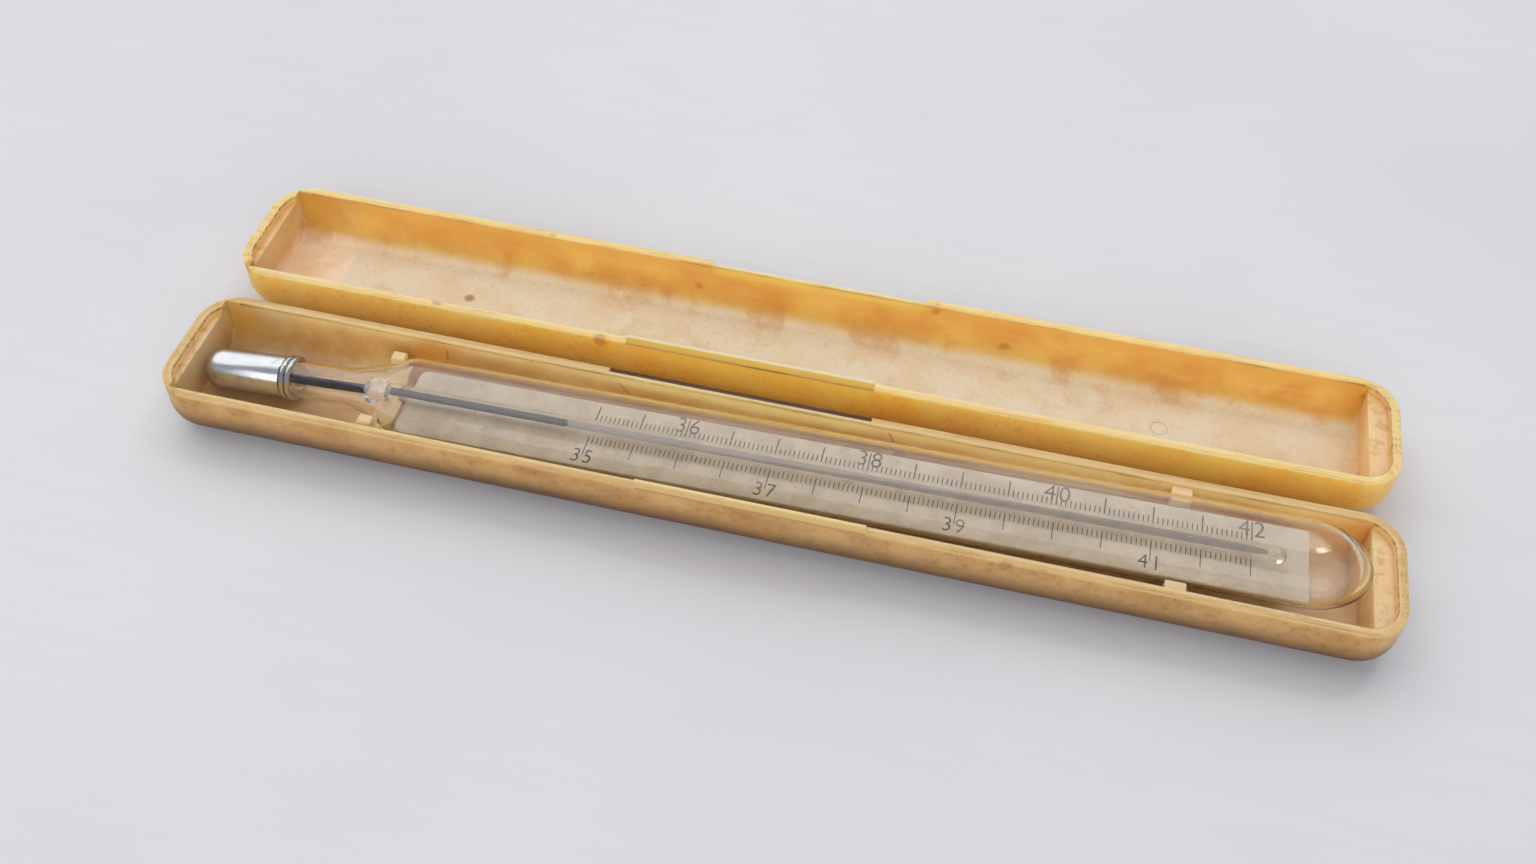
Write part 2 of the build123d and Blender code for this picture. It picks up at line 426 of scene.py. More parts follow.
@dataclass(frozen=True)
class AgedPlastic:
    """Yellowed glossy plastic of one half, paler on the rims and browner where dirt has settled."""

    half: Half
    outside: Tone = tone(214, 176, 112)
    outside_deep: Tone = tone(184, 138, 76)
    # painted shade: the outside darkens to this colour towards the foot, from foot_from down to
    # foot_full; the dirt smudges use it too
    foot: Tone = tone(100, 62, 28)
    foot_from: float = 6.8
    foot_full: float = 3.2
    # a paler tone for random patches and streaks, and painted light on the rim's upward face
    rim: Tone = tone(208, 176, 122)
    wall: Tone = tone(228, 192, 124)
    wall_deep: Tone = tone(206, 160, 90)
    # painted light and shade: the inner walls change to this colour towards their top
    wall_top_shading: Tone = tone(240, 210, 150)
    # painted glow: light through the plastic in the end corners, painted into the colour
    glow: Tone = tone(214, 154, 56)
    glow_share: float = 0.65
    # painted light: the near wall's inner face, which faces the lamps, painted paler
    lit_near_wall: Tone = tone(238, 212, 158)
    tongue: Tone = tone(216, 174, 120)
    # painted light: the paler top of the tongue, where it faces up
    tongue_top: Tone = tone(226, 192, 142)
    floor: Tone = tone(232, 196, 156)
    floor_deep: Tone = tone(212, 172, 126)
    mottle: Tone = tone(138, 98, 52)
    mottle_share: float = 0.7
    stain: Tone = tone(196, 138, 66)
    ivory: Tone = tone(234, 204, 158)
    smear: Tone = tone(186, 146, 66)
    dirt: Tone = tone(142, 92, 40)
    through_mm: float = 2.8
    through_share: float = 0.9
    reach_shares: Place = (1.0, 0.86, 0.52)
    # centre of a painted pool of light on the tray's far wall, part of the painted glow
    lit_patch: Place = (-40.5, -3.1, 4.6)
    cracks: tuple[Place, ...] = ((-39.0, 5.0, -0.1), (-17.9, 5.2, 0.7), (13.0, 5.4, 0.5))
    gate: Place = (42.5, 10.1, 1.0)
    lid_spot: Place = (-41.7, 10.1, 1.0)
    sizes: CaseSizes = CaseSizes()

    @staticmethod
    def rounded(r: Recipe, first: object, second: object, radius: float) -> Socket:
        """Distance from a rounded corner.

        Args:
            r: the material's recipe.
            first, second: distances past the centre of the rounding, along two directions.
            radius: radius of the rounding.

        Returns:
            The distance, less than zero inside the corner.
        """
        a = r.math("MAXIMUM", first, 0.0)
        b = r.math("MAXIMUM", second, 0.0)
        away = r.math("SQRT", r.math("ADD", r.product(a, a), r.product(b, b)))
        within = r.math("MINIMUM", r.math("MAXIMUM", first, second), 0.0)
        return r.math("SUBTRACT", r.math("ADD", away, within), radius)

    def depth(self, r: Recipe, along: Socket, side: Socket, z: Socket) -> Socket:
        """Measures how far a place lies from the outside of the moulding.

        Args:
            r: the material's recipe.
            along: distance from the middle along the case.
            side: distance from the middle line across it.
            z: height.

        Returns:
            The distance, less than zero inside the moulding.
        """
        sizes = self.sizes
        past_side = r.math("SUBTRACT", side, sizes.half_width - sizes.corner)
        past_end = r.math("SUBTRACT", along, sizes.half_length - sizes.corner)
        flat = self.rounded(r, past_end, past_side, sizes.corner)
        across = r.math("ADD", flat, sizes.belly)
        down = r.math("SUBTRACT", sizes.belly, z)
        return self.rounded(r, across, down, sizes.belly)

    def ground(self) -> Ground:
        """Starts the material with its places and shared patterns.

        Returns:
            What all layers of the plastic read.
        """
        r = Recipe("aged_plastic_lid" if self.half is Half.LID else "aged_plastic_tray")
        sizes = self.sizes
        x, world_y, z = r.parts()
        y = r.math("SUBTRACT", world_y, self.half.value)
        along = r.math("ABSOLUTE", x)
        side = r.math("ABSOLUTE", y)
        depth = self.depth(r, along, side, z)
        well = self.rounded(r, r.math("SUBTRACT", side, sizes.inner - sizes.well_round),
                            r.math("SUBTRACT", sizes.floor + sizes.well_round, z), sizes.well_round)
        thin_corner = r.product(r.window(x, *sizes.thin_stretch, 0.03), r.band(well, 0.1, 0.04))
        return Ground(
            r, x, y, z, along, side, depth, thin_corner,
            inside=r.most(r.band(depth, -0.5, -0.75), thin_corner),
            clouds=r.noise(0.05, 3.0, 0.5),
            patches=r.noise(0.16, 4.0, 0.5, 0.5),
            grain=r.noise(1.8, 5.0, 0.62),
            streaks=r.noise(1.0, 4.0, 0.6, vector=r.turned((0.12, 1.6, 1.6))),
            specks=r.product(r.band(r.cells(1.3), 0.13, 0.05), r.band(r.noise(0.35), 0.52, 0.62)),
        )

    def shell(self, g: Ground) -> Socket:
        """Colours the outside: cloudy, browner towards the foot with painted shade, and with dirt smudges
        of the same brown lower down.

        Args:
            g: places and patterns of this half.

        Returns:
            The colour.
        """
        r = g.r
        colour = r.mix(r.band(g.patches, 0.3, 0.72), self.outside, self.outside_deep)
        colour = r.mix(r.band(g.clouds, 0.42, 0.62, 0.0, 0.3), colour, self.rim)
        ragged = r.math("ADD", g.z, r.product(g.patches, 2.5))
        # painted shade: browner towards the foot, with a ragged edge
        colour = r.mix(r.band(ragged, self.foot_from, self.foot_full), colour, self.foot)
        smudge = r.product(r.band(r.noise(0.3, 5.0, 0.62, 1.2), 0.52, 0.7),
                           r.band(g.z, 5.6, 2.2, 0.15, 1.0), 0.5)
        return r.mix(smudge, colour, self.foot)

    def rubbed(self, g: Ground) -> Socket:
        """Share of the fine brown mottle that wear has left outside."""
        r = g.r
        return r.product(r.band(r.noise(1.1, 6.0, 0.72, 0.1), 0.5, 0.68, 0.0, self.mottle_share),
                         r.band(g.patches, 0.35, 0.6, 0.2, 1.0))

    def walls(self, g: Ground) -> Socket:
        """Colours the inner walls: golden in the corners from a painted glow, painted light and shade
        towards their top, a near wall paled by painted light, and paler at the ends.

        Args:
            g: places and patterns of this half.

        Returns:
            The colour.
        """
        r = g.r
        sizes = self.sizes
        colour = r.mix(r.band(g.patches, 0.3, 0.7), self.wall, self.wall_deep)
        colour = r.mix(r.band(g.streaks, 0.5, 0.7, 0.0, 0.18), colour, self.rim)
        # painted light and shade: the walls change colour towards their top
        colour = r.mix(r.band(g.z, 4.6, 6.6, 0.0, 0.8), colour, self.wall_top_shading)
        # painted glow: light through the plastic in the end corners
        golden = r.product(r.band(g.along, 59.0, 65.5), r.band(g.side, 3.5, 6.8),
                           r.band(g.z, 0.8, 5.8, 0.35, 1.0))
        if self.half is Half.TRAY:
            # painted pool of light on the tray's far wall
            golden = r.most(golden, r.spot(self.lit_patch, 1.2, 3.2))
        colour = r.mix(r.product(golden, self.glow_share), colour, self.glow)
        # painted light: the near wall's inner face painted paler
        colour = r.mix(r.band(g.y, 0.6 - sizes.inner, 0.1 - sizes.inner), colour, self.lit_near_wall)
        start, stop = sizes.well
        at_end = r.most(r.band(g.x, start + 0.3, start + 0.1), r.band(g.x, stop - 0.3, stop - 0.1))
        pale = r.product(at_end, r.band(g.side, sizes.inner - 0.1, sizes.inner - 0.4),
                         r.band(g.patches, 0.35, 0.65, 0.9, 0.55))
        return r.mix(pale, colour, self.ivory)

    def base(self, g: Ground) -> Socket:
        """Colours the floor.

        Args:
            g: places and patterns of this half.

        Returns:
            The colour.
        """
        r = g.r
        colour = r.mix(r.band(g.patches, 0.36, 0.66), self.floor, self.floor_deep)
        return r.mix(r.band(g.grain, 0.5, 0.68, 0.0, 0.22), colour, self.wall)

    def fittings(self, g: Ground) -> Socket:
        """Finds the tray's paler cradle, prongs and lugs.

        Args:
            g: places and patterns of this half.

        Returns:
            Their share.
        """
        r = g.r
        inner = self.sizes.inner
        cradle = r.product(r.window(g.x, *self.sizes.cradle, 0.1), r.band(g.side, 6.0, 5.8),
                           r.band(g.z, 1.3, 1.6))
        lugs = r.product(r.window(g.x, *self.sizes.lugs, 0.1), r.band(g.z, 4.2, 4.4),
                         r.band(g.side, inner, inner - 0.1))
        return r.product(r.most(cradle, lugs), 0.9)

    def top(self, g: Ground, colour: Socket) -> Socket:
        """Lays the colours of the rim and the tongue over a colour, with painted light paling their
        upward faces.

        Args:
            g: places and patterns of this half.
            colour: the colour beneath.

        Returns:
            The colour with both laid over it.
        """
        r = g.r
        level = self.sizes.rim
        tip = self.sizes.tongue_top
        # partly the rim's own paler tone, partly painted light on its upward face
        rim = r.product(r.band(g.z, level - 0.4, level - 0.02), r.band(g.patches, 0.3, 0.6, 0.9, 0.6))
        colour = r.mix(rim, colour, self.rim)
        tongue = r.product(r.band(g.z, level + 0.01, level + 0.04), r.band(g.z, tip - 0.1, tip - 0.2))
        colour = r.mix(tongue, colour, self.tongue)
        # painted light: a paler top on the tongue where it faces up
        return r.mix(r.band(g.z, tip - 0.18, tip - 0.08), colour, self.tongue_top)

    def soil(self, g: Ground, colour: Socket, grime: Socket) -> Socket:
        """Lays blots, smears, dirt and specks over a colour.

        Args:
            g: places and patterns of this half.
            colour: the clean colour.
            grime: share of the dirt.

        Returns:
            The soiled colour.
        """
        r = g.r
        ledge = self.sizes.ledge
        blots = r.product(r.band(r.noise(0.2, 5.0, 0.6, 0.25), 0.5, 0.66), g.inside,
                          r.band(g.side, 3.2, 6.0, 0.45, 1.0), r.band(g.z, 4.5, 2.0, 0.35, 1.0), 0.5)
        colour = r.mix(blots, colour, self.stain)
        smears = r.product(r.band(r.noise(0.7, 5.0, 0.65, 0.3), 0.5, 0.64),
                           r.band(g.z, ledge - 0.2, ledge - 0.05), r.band(g.along, 62.0, 65.0), 0.45)
        colour = r.mix(smears, colour, self.smear)
        colour = r.mix(r.product(grime, 0.75), colour, self.dirt)
        colour = r.mix(r.product(g.specks, 0.55), colour, self.dirt)
        return r.mix(r.band(g.grain, 0.4, 0.8, 0.0, 0.12), colour, self.outside_deep, "MULTIPLY")

    def grime(self, g: Ground) -> Socket:
        """Finds the dirt along the rim, at the tongue's foot, in worn spots and in single marks.

        Args:
            g: places and patterns of this half.

        Returns:
            Its share.
        """
        r = g.r
        rim = self.sizes.rim
        ends = r.band(g.along, 60.0, 65.0, 1.0, 1.6)
        edge = r.product(r.window(g.depth, -1.2, -1.02, 0.06), r.window(g.z, rim - 0.3, rim - 0.02, 0.1),
                         r.band(g.streaks, 0.42, 0.62, 0.15, 0.6), ends)
        line = r.product(r.window(g.depth, -0.75, -0.6, 0.08), r.band(g.z, rim - 0.1, rim - 0.02),
                         r.band(g.streaks, 0.5, 0.66, 0.0, 0.6), ends, 0.6)
        lip = r.product(r.window(g.depth, -0.34, -0.16, 0.1), r.window(g.z, rim - 0.38, rim - 0.02, 0.1),
                        r.band(g.streaks, 0.45, 0.65, 0.0, 0.5))
        spots = r.product(r.band(r.cells(0.16), 0.16, 0.08), r.band(g.patches, 0.42, 0.55),
                          r.band(g.z, 1.5, 3.0), 0.6)
        if self.half is Half.LID:
            marks = (self.gate_mark(r), r.spot(self.lid_spot, 0.3, 0.6))
        else:
            marks = tuple(self.crack(g, *place) for place in self.cracks)
        return r.most(edge, line, self.tongue_foot(g), lip, spots, *marks)

    def tongue_foot(self, g: Ground) -> Socket:
        """Finds the dirt in the corner where the tongue stands on the rim.

        Args:
            g: places and patterns of this half.

        Returns:
            Its share.
        """
        r = g.r
        sizes = self.sizes
        lid = self.half is Half.LID
        middle, reach = sizes.lid_tongue if lid else sizes.tray_tongue
        away = r.math("ABSOLUTE", r.math("SUBTRACT", g.x, middle))
        return r.product(r.band(away, reach + 0.1, reach - 0.1), r.band(g.y, -6.0, -6.5),
                         r.window(g.z, sizes.rim - 0.14, sizes.rim + 0.06, 0.08),
                         r.band(g.streaks, 0.4, 0.6, 0.45, 1.0 if lid else 0.45))

    def crack(self, g: Ground, centre: float, level: float, lean: float) -> Socket:
        """Short brown crack across the far wall.

        Args:
            g: places and patterns of this half.
            centre: its place along the case.
            level: its height.
            lean: how far it leans for each millimetre of height.

        Returns:
            The share of the crack.
        """
        r = g.r
        inner = self.sizes.inner
        slant = r.math("ADD", g.x, r.product(r.math("SUBTRACT", g.z, level), lean))
        return r.product(r.window(slant, centre - 0.06, centre + 0.06, 0.1),
                         r.band(g.y, inner - 0.7, inner - 0.2, 0.0, 0.8),
                         r.window(g.z, level - 0.7, level + 0.6, 0.3))

    def gate_mark(self, r: Recipe) -> Socket:
        """Thin ring that the moulding's gate left on the floor of the lid."""
        reach = r.vector("DISTANCE", r.place, self.gate)
        return r.product(r.window(reach, 0.92, 1.02, 0.1), 0.35)

    def relief(self, g: Ground) -> Socket:
        """Lays fine grain under soft waves, pits and scuffs.

        Args:
            g: places and patterns of this half.

        Returns:
            The bent normal.
        """
        r = g.r
        fine = r.bump(g.grain, 0.02, 0.35)
        waves = r.bump(r.noise(0.22, 2.0, 0.5), 0.22, 0.35, fine)
        pits = r.bump(r.math("SUBTRACT", 1.0, g.specks), 0.05, 0.5, waves)
        return r.bump(g.streaks, 0.035, 0.4, pits)

    def make(self) -> Material:
        """Builds the finish.

        Returns:
            The material of this half.
        """
        g = self.ground()
        r = g.r
        rubbed = self.rubbed(g)
        on_floor = r.product(r.band(g.z, 2.6, 1.15), r.band(g.side, 6.9, 5.2))
        inner = r.mix(on_floor, self.walls(g), self.base(g))
        if self.half is Half.TRAY:
            inner = r.mix(self.fittings(g), inner, self.ivory)
        colour = r.mix(g.inside, r.mix(rubbed, self.shell(g), self.mottle), inner)
        grime = self.grime(g)
        colour = self.soil(g, self.top(g, colour), grime)
        on_top = r.product(r.math("SUBTRACT", 1.0, g.inside), rubbed)
        cover = r.most(r.product(grime, 0.8), g.specks, on_top, r.product(on_floor, 0.4),
                       r.product(g.thin_corner, 0.85))
        through = r.product(r.math("SUBTRACT", 1.0, cover), self.through_share)
        roughness = r.math("ADD", r.band(g.patches, 0.3, 0.7, 0.3, 0.44),
                           r.band(g.grain, 0.3, 0.7, 0.0, 0.1))
        return r.close(r.surface(
            Base_Color=colour, Roughness=roughness, Normal=self.relief(g), IOR=1.5,
            Subsurface_Weight=through, Subsurface_Scale=self.through_mm * MM,
            Subsurface_Radius=self.reach_shares,
        ))


def lid_plastic() -> AgedPlastic:
    """Plastic of the lid, yellower outside than the tray and paler on its floor."""
    return AgedPlastic(
        Half.LID, outside=tone(255, 200, 98), outside_deep=tone(254, 186, 78),
        foot=tone(253, 186, 80), foot_from=4.6, foot_full=0.8, rim=tone(236, 202, 144),
        wall=tone(230, 188, 104), wall_deep=tone(212, 162, 78), wall_top_shading=tone(222, 174, 90),
        tongue=tone(242, 182, 98), tongue_top=tone(242, 206, 158),
        mottle=tone(206, 144, 60), mottle_share=0.4, glow_share=0.6,
        floor=tone(255, 230, 198), floor_deep=tone(252, 217, 178), stain=tone(206, 146, 74),
        through_mm=3.6,
    )


@dataclass(frozen=True)
class ClearGlass:
    """Clear glass with a little haze, faint wear and dust."""

    name: str
    tint: Tone = (0.985, 0.985, 0.98, 1.0)
    smeared: Tone = (0.965, 0.955, 0.93, 1.0)
    shade: Tone = (0.93, 0.92, 0.9, 1.0)
    ior: float = 1.47
    haze: float = 0.0
    dust: float = 0.35
    # share of clear glass; the rest is the tint as a diffuse surface
    clear: float = 1.0

    def make(self) -> Material:
        """Builds the finish.

        Returns:
            The glass, which lets light through in its shadow.
        """
        r = Recipe(self.name)
        specks = r.product(r.band(r.cells(1.1), 0.1, 0.03), r.band(r.noise(0.3), 0.5, 0.6))
        smear = r.noise(0.5, 4.0, 0.6, 0.6)
        roughness = r.math("ADD", r.band(smear, 0.45, 0.75, self.haze, self.haze + 0.03),
                           r.product(specks, self.dust))
        ripple = r.bump(r.noise(0.16, 1.0, 0.4), 0.05, 0.25)
        scratches = r.noise(2.5, 3.0, 0.6, vector=r.turned((0.2, 1.0, 1.0)))
        colour = r.mix(r.band(smear, 0.4, 0.7, 0.0, 0.5), self.tint, self.smeared)
        glass = r.surface(Base_Color=colour, Roughness=roughness, IOR=self.ior,
                          Normal=r.bump(scratches, 0.004, 0.3, ripple),
                          Transmission_Weight=self.clear)
        through = r.node("ShaderNodeBsdfTransparent")
        r.feed(through.inputs["Color"], self.shade)
        in_shadow = r.node("ShaderNodeLightPath").outputs["Is Shadow Ray"]
        return r.close(r.blend(in_shadow, glass, through.outputs[0]))


@dataclass(frozen=True)
class WettedSkin:
    """Inside of a bore or bulb, where light goes on without bending, with a faint grey layer of painted
    shade for the look of an empty bore.
    """

    name: str
    painted_bore_shade: float = 0.0
    grey: Tone = tone(116, 115, 114)

    def make(self) -> Material:
        """Builds the finish.

        Returns:
            The clear skin, or one with a grey layer of painted shade.
        """
        r = Recipe(self.name)
        clear = r.node("ShaderNodeBsdfTransparent").outputs[0]
        dull = r.surface(Base_Color=self.grey, Roughness=0.6, Normal=r.bump(r.noise(3.0), 0.004, 0.3))
        cloud = r.noise(0.5, 3.0, 0.6, vector=r.turned((0.3, 1.0, 1.0)))
        # painted shade: a grey layer, strongest where the skin faces the eye
        share = r.product(r.band(cloud, 0.3, 0.7, 0.8 * self.painted_bore_shade, self.painted_bore_shade),
                          r.band(r.facing(), 0.9, 0.2))
        return r.close(r.blend(share, clear, dull))


@dataclass(frozen=True)
class Quicksilver:
    """Mercury: bright, almost smooth metal with a faint film, and painted shade darkening its outline."""

    name: str
    bright: Tone = (0.64, 0.66, 0.69, 1.0)
    film: Tone = (0.4, 0.41, 0.42, 1.0)
    # painted shade: colour of the outline, standing in for dark surroundings reflected there
    edge: Tone = (0.16, 0.16, 0.17, 1.0)
    rough: float = 0.17

    def make(self) -> Material:
        """Builds the finish.

        Returns:
            The mirror metal.
        """
        r = Recipe(self.name)
        clouds = r.noise(0.7, 4.0, 0.6, 0.5)
        streaks = r.noise(1.6, 3.0, 0.6, vector=r.turned((0.15, 1.0, 1.0)))
        colour = r.mix(r.band(clouds, 0.5, 0.75, 0.0, 0.5), self.bright, self.film)
        # painted shade: darker where the surface turns away from the eye
        colour = r.mix(r.band(r.facing(), 0.45, 0.95), colour, self.edge)
        roughness = r.math("ADD", self.rough, r.band(streaks, 0.4, 0.7, 0.0, 0.08))
        return r.close(r.surface(Base_Color=colour, Roughness=roughness, Metallic=1.0,
                                 Normal=r.bump(streaks, 0.012, 0.35)))


@dataclass(frozen=True)
class OpalPlate:
    """Opal scale plate, greyed and stained, with a soft gloss and a paler bare end."""

    name: str = "opal_plate"
    milk: float = 0.3
    pale: Tone = tone(212, 196, 174)
    grey: Tone = tone(198, 181, 160)
    stain: Tone = tone(176, 148, 120)
    bare: Tone = tone(212, 198, 180)
    speck: Tone = tone(104, 80, 60)
    bare_from: tuple[float, float] = (55.6, 56.2)

    def make(self) -> Material:
        """Builds the finish.

        Returns:
            The stained opal.
        """
        r = Recipe(self.name)
        x, _, _ = r.parts()
        clouds = r.noise(0.3, 5.0, 0.62, 0.5)
        blots = r.noise(0.9, 5.0, 0.65, 0.8)
        grain = r.noise(5.0, 3.0, 0.7)
        colour = r.mix(r.band(clouds, 0.35, 0.65), self.pale, self.grey)
        colour = r.mix(r.band(blots, 0.55, 0.72, 0.0, 0.6), colour, self.stain)
        colour = r.mix(r.band(grain, 0.45, 0.75, 0.0, 0.3), colour, self.grey, "MULTIPLY")
        colour = r.mix(r.band(x, *self.bare_from, 0.0, 0.5), colour, self.bare)
        specks = r.product(r.band(r.cells(1.6), 0.11, 0.04), r.band(blots, 0.5, 0.6), 0.6)
        colour = r.mix(specks, colour, self.speck)
        skin = r.bump(grain, 0.01, 0.3, r.bump(blots, 0.02, 0.3))
        opal = r.surface(Base_Color=colour, Roughness=r.band(clouds, 0.3, 0.7, 0.35, 0.55),
                         Normal=skin, IOR=1.5)
        glow = r.node("ShaderNodeBsdfTranslucent")
        r.feed(glow.inputs["Color"], colour)
        return r.close(r.blend(self.milk, opal, glow.outputs[0]))


@dataclass(frozen=True)
class WornInk:
    """Grey-brown printing that has rubbed thin in places."""

    name: str = "worn_ink"
    dark: Tone = tone(52, 45, 37)
    faded: Tone = tone(108, 94, 78)

    def make(self) -> Material:
        """Builds the finish.

        Returns:
            The ink.
        """
        r = Recipe(self.name)
        wear = r.noise(0.35, 4.0, 0.65, 0.4)
        bits = r.noise(4.0, 3.0, 0.7)
        share = r.math("ADD", r.band(wear, 0.45, 0.68, 0.0, 0.7), r.band(bits, 0.5, 0.8, 0.0, 0.3),
                       clamp=True)
        return r.close(r.surface(Base_Color=r.mix(share, self.dark, self.faded),
                                 Roughness=r.band(bits, 0.3, 0.7, 0.5, 0.7),
                                 Normal=r.bump(bits, 0.006, 0.3)))


@dataclass(frozen=True)
class PaintedTable:
    """Pale grey painted table top with faint brush marks."""

    name: str = "painted_table"
    pale: Tone = (0.72, 0.72, 0.74, 1.0)
    cool: Tone = (0.68, 0.68, 0.705, 1.0)
    brush_turn: float = 0.5

    def make(self) -> Material:
        """Builds the finish.

        Returns:
            The table's paint.
        """
        r = Recipe(self.name)
        strokes = r.turned((0.12, 1.0, 1.0), (0.0, 0.0, self.brush_turn))
        brush = r.noise(0.5, 4.0, 0.6, vector=strokes)
        broad = r.noise(0.012, 3.0, 0.5)
        colour = r.mix(r.band(broad, 0.35, 0.65), self.pale, self.cool)
        colour = r.mix(r.band(brush, 0.35, 0.7, 0.0, 0.25), colour, self.cool)
        return r.close(r.surface(Base_Color=colour, Roughness=r.band(brush, 0.3, 0.7, 0.42, 0.55),
                                 Normal=r.bump(brush, 0.12, 0.25)))


@dataclass(frozen=True)
class ThermometerSizes:
    """Places and radii along the thermometer's own axis, and its angles in degrees."""

    axis_y: float = -10.3
    axis_z: float = 5.72
    pitch: float = 1.16
    bend: float = 2.8
    bulb_tip: float = -65.7
    bulb_end: float = -55.6
    neck_start: float = -54.2
    neck_end: float = -49.0
    bead_start: float = -45.6
    bead_end: float = -43.2
    waist: float = -42.9
    shoulder_end: float = -40.4
    dome_start: float = 57.6
    dome_end: float = 64.4
    body: tuple[float, float] = (5.3, 3.65)
    waist_half: tuple[float, float] = (4.1, 3.1)
    neck: float = 2.15
    wall: float = 0.4
    sharp: float = 40.0


SIZES = ThermometerSizes()
MERGE = 0.0008
PACKED_MERGE = 0.002 * MM
LONG_WAY = 0.9999


class Blank:
    """A mesh being shaped in millimetres on the thermometer's own axis."""

    def __init__(self, name: str) -> None:
        """Starts an empty mesh."""
        self.name = name
        self.mesh = bmesh.new()

    def turn(self, outline: list[tuple[float, float]], closed: bool, steps: int) -> "Blank":
        """Spins an outline of places and radii about the X axis.

        Args:
            outline: places along X with their radii.
            closed: whether the last point joins the first.
            steps: faces round the axis.

        Returns:
            This blank.
        """
        points = [self.mesh.verts.new((x, 0.0, radius)) for x, radius in outline]
        ends = points[1:] + points[:1] if closed else points[1:]
        edges = [self.mesh.edges.new(pair) for pair in zip(points, ends)]
        bmesh.ops.spin(self.mesh, geom=points + edges, cent=(0, 0, 0), axis=(1, 0, 0), dvec=(0, 0, 0),
                       angle=math.tau, steps=steps, use_merge=True, use_duplicate=False)
        return self

    def sweep(self, rings: list[tuple[float, float, float]], steps: int, lift: float = 0.0,
              tip: float | None = None) -> list[bmesh.types.BMEdge]:
        """Extrudes an oval ring through places along X.

        Args:
            rings: places along X, each with its half-width and half-height.
            steps: points round each ring.
            lift: level of the rings' centre.
            tip: place of a closing point, where the sweep ends in one.

        Returns:
            The edges of the first ring.
        """
        place, wide, high = rings[0]
        upright = Matrix.Translation((place, 0, lift)) @ Matrix.Rotation(math.pi / 2, 4, "Y")
        made = bmesh.ops.create_circle(self.mesh, segments=steps, radius=1.0, matrix=upright)
        around = list(made["verts"])
        centre = Vector((place, 0, lift))
        bmesh.ops.scale(self.mesh, vec=(1, wide, high), space=Matrix.Translation(-centre), verts=around)
        first = list(dict.fromkeys(edge for vert in around for edge in vert.link_edges))
        edges = first
        for after, next_wide, next_high in rings[1:]:
            grown = bmesh.ops.extrude_edge_only(self.mesh, edges=edges)["geom"]
            around = [part for part in grown if isinstance(part, bmesh.types.BMVert)]
            edges = [part for part in grown if isinstance(part, bmesh.types.BMEdge)
                     and all(vert in around for vert in part.verts)]
            bmesh.ops.scale(self.mesh, vec=(1, next_wide / wide, next_high / high),
                            space=Matrix.Translation((0, 0, -lift)), verts=around)
            bmesh.ops.translate(self.mesh, vec=(after - place, 0, 0), verts=around)
            place, wide, high = after, next_wide, next_high
        if tip is not None:
            grown = bmesh.ops.extrude_edge_only(self.mesh, edges=edges)["geom"]
            around = [part for part in grown if isinstance(part, bmesh.types.BMVert)]
            bmesh.ops.pointmerge(self.mesh, verts=around, merge_co=(tip, 0, lift))
        return first

    def line_inside(self, radius: float, lift: float = 0.0) -> "Blank":
        """Gives the faces near the axis the second finish, but for end faces.

        Args:
            radius: how far from the axis they may lie.
            lift: level of the axis.

        Returns:
            This blank.
        """
        for face in self.mesh.faces:
            centre = face.calc_center_median()
            if math.hypot(centre.y, centre.z - lift) < radius and abs(face.normal.x) < LONG_WAY:
                face.material_index = 1
        return self

    def close_up(self) -> "Blank":
        """Merges doubled points and points all normals outwards.

        Returns:
            This blank.
        """
        bmesh.ops.remove_doubles(self.mesh, verts=self.mesh.verts, dist=MERGE)
        bmesh.ops.recalc_face_normals(self.mesh, faces=self.mesh.faces)
        return self

    def put_in_order(self) -> None:
        """Orders points by their places and faces by their points, the same on every run."""
        for place, vert in enumerate(sorted(self.mesh.verts, key=lambda vert: tuple(vert.co))):
            vert.index = place
        faces = sorted(self.mesh.faces, key=lambda face: sorted(vert.index for vert in face.verts))
        for place, face in enumerate(faces):
            face.index = place
        self.mesh.verts.sort()
        self.mesh.faces.sort()

    def bend_down(self, everything: bool = False) -> "Blank":
        """Turns what lies before the bead down, as the blown joint is.

        Args:
            everything: whether what lies after the bead is turned too.

        Returns:
            This blank.
        """
        low = [vert for vert in self.mesh.verts if everything or vert.co.x < SIZES.bead_start]
        bmesh.ops.rotate(self.mesh, cent=(SIZES.bead_start, 0, 0),
                         matrix=Matrix.Rotation(-math.radians(SIZES.bend), 3, "Y"), verts=low)
        return self

    def finish(self, body: str, slot: str, *finishes: Material, flip: bool = True) -> bpy.types.Object:
        """Lays the blank on the tray and makes it a piece.

        Args:
            body: CAD body that the piece rides on.
            slot: name of a material slot; not used.
            finishes: its materials, in the order of the marks on its faces.
            flip: whether normals are made to point outwards again.

        Returns:
            The finished piece.
        """
        mesh = self.mesh
        if flip:
            self.close_up()
        else:
            bmesh.ops.remove_doubles(mesh, verts=mesh.verts, dist=MERGE)
        self.put_in_order()
        bmesh.ops.rotate(mesh, cent=(0, 0, 0), verts=mesh.verts,
                         matrix=Matrix.Rotation(-math.radians(SIZES.pitch), 3, "Y"))
        bmesh.ops.translate(mesh, vec=(0, SIZES.axis_y, SIZES.axis_z), verts=mesh.verts)
        bmesh.ops.scale(mesh, vec=(MM, MM, MM), verts=mesh.verts)
        return publish(self.name, mesh, body, finishes, SIZES.sharp)


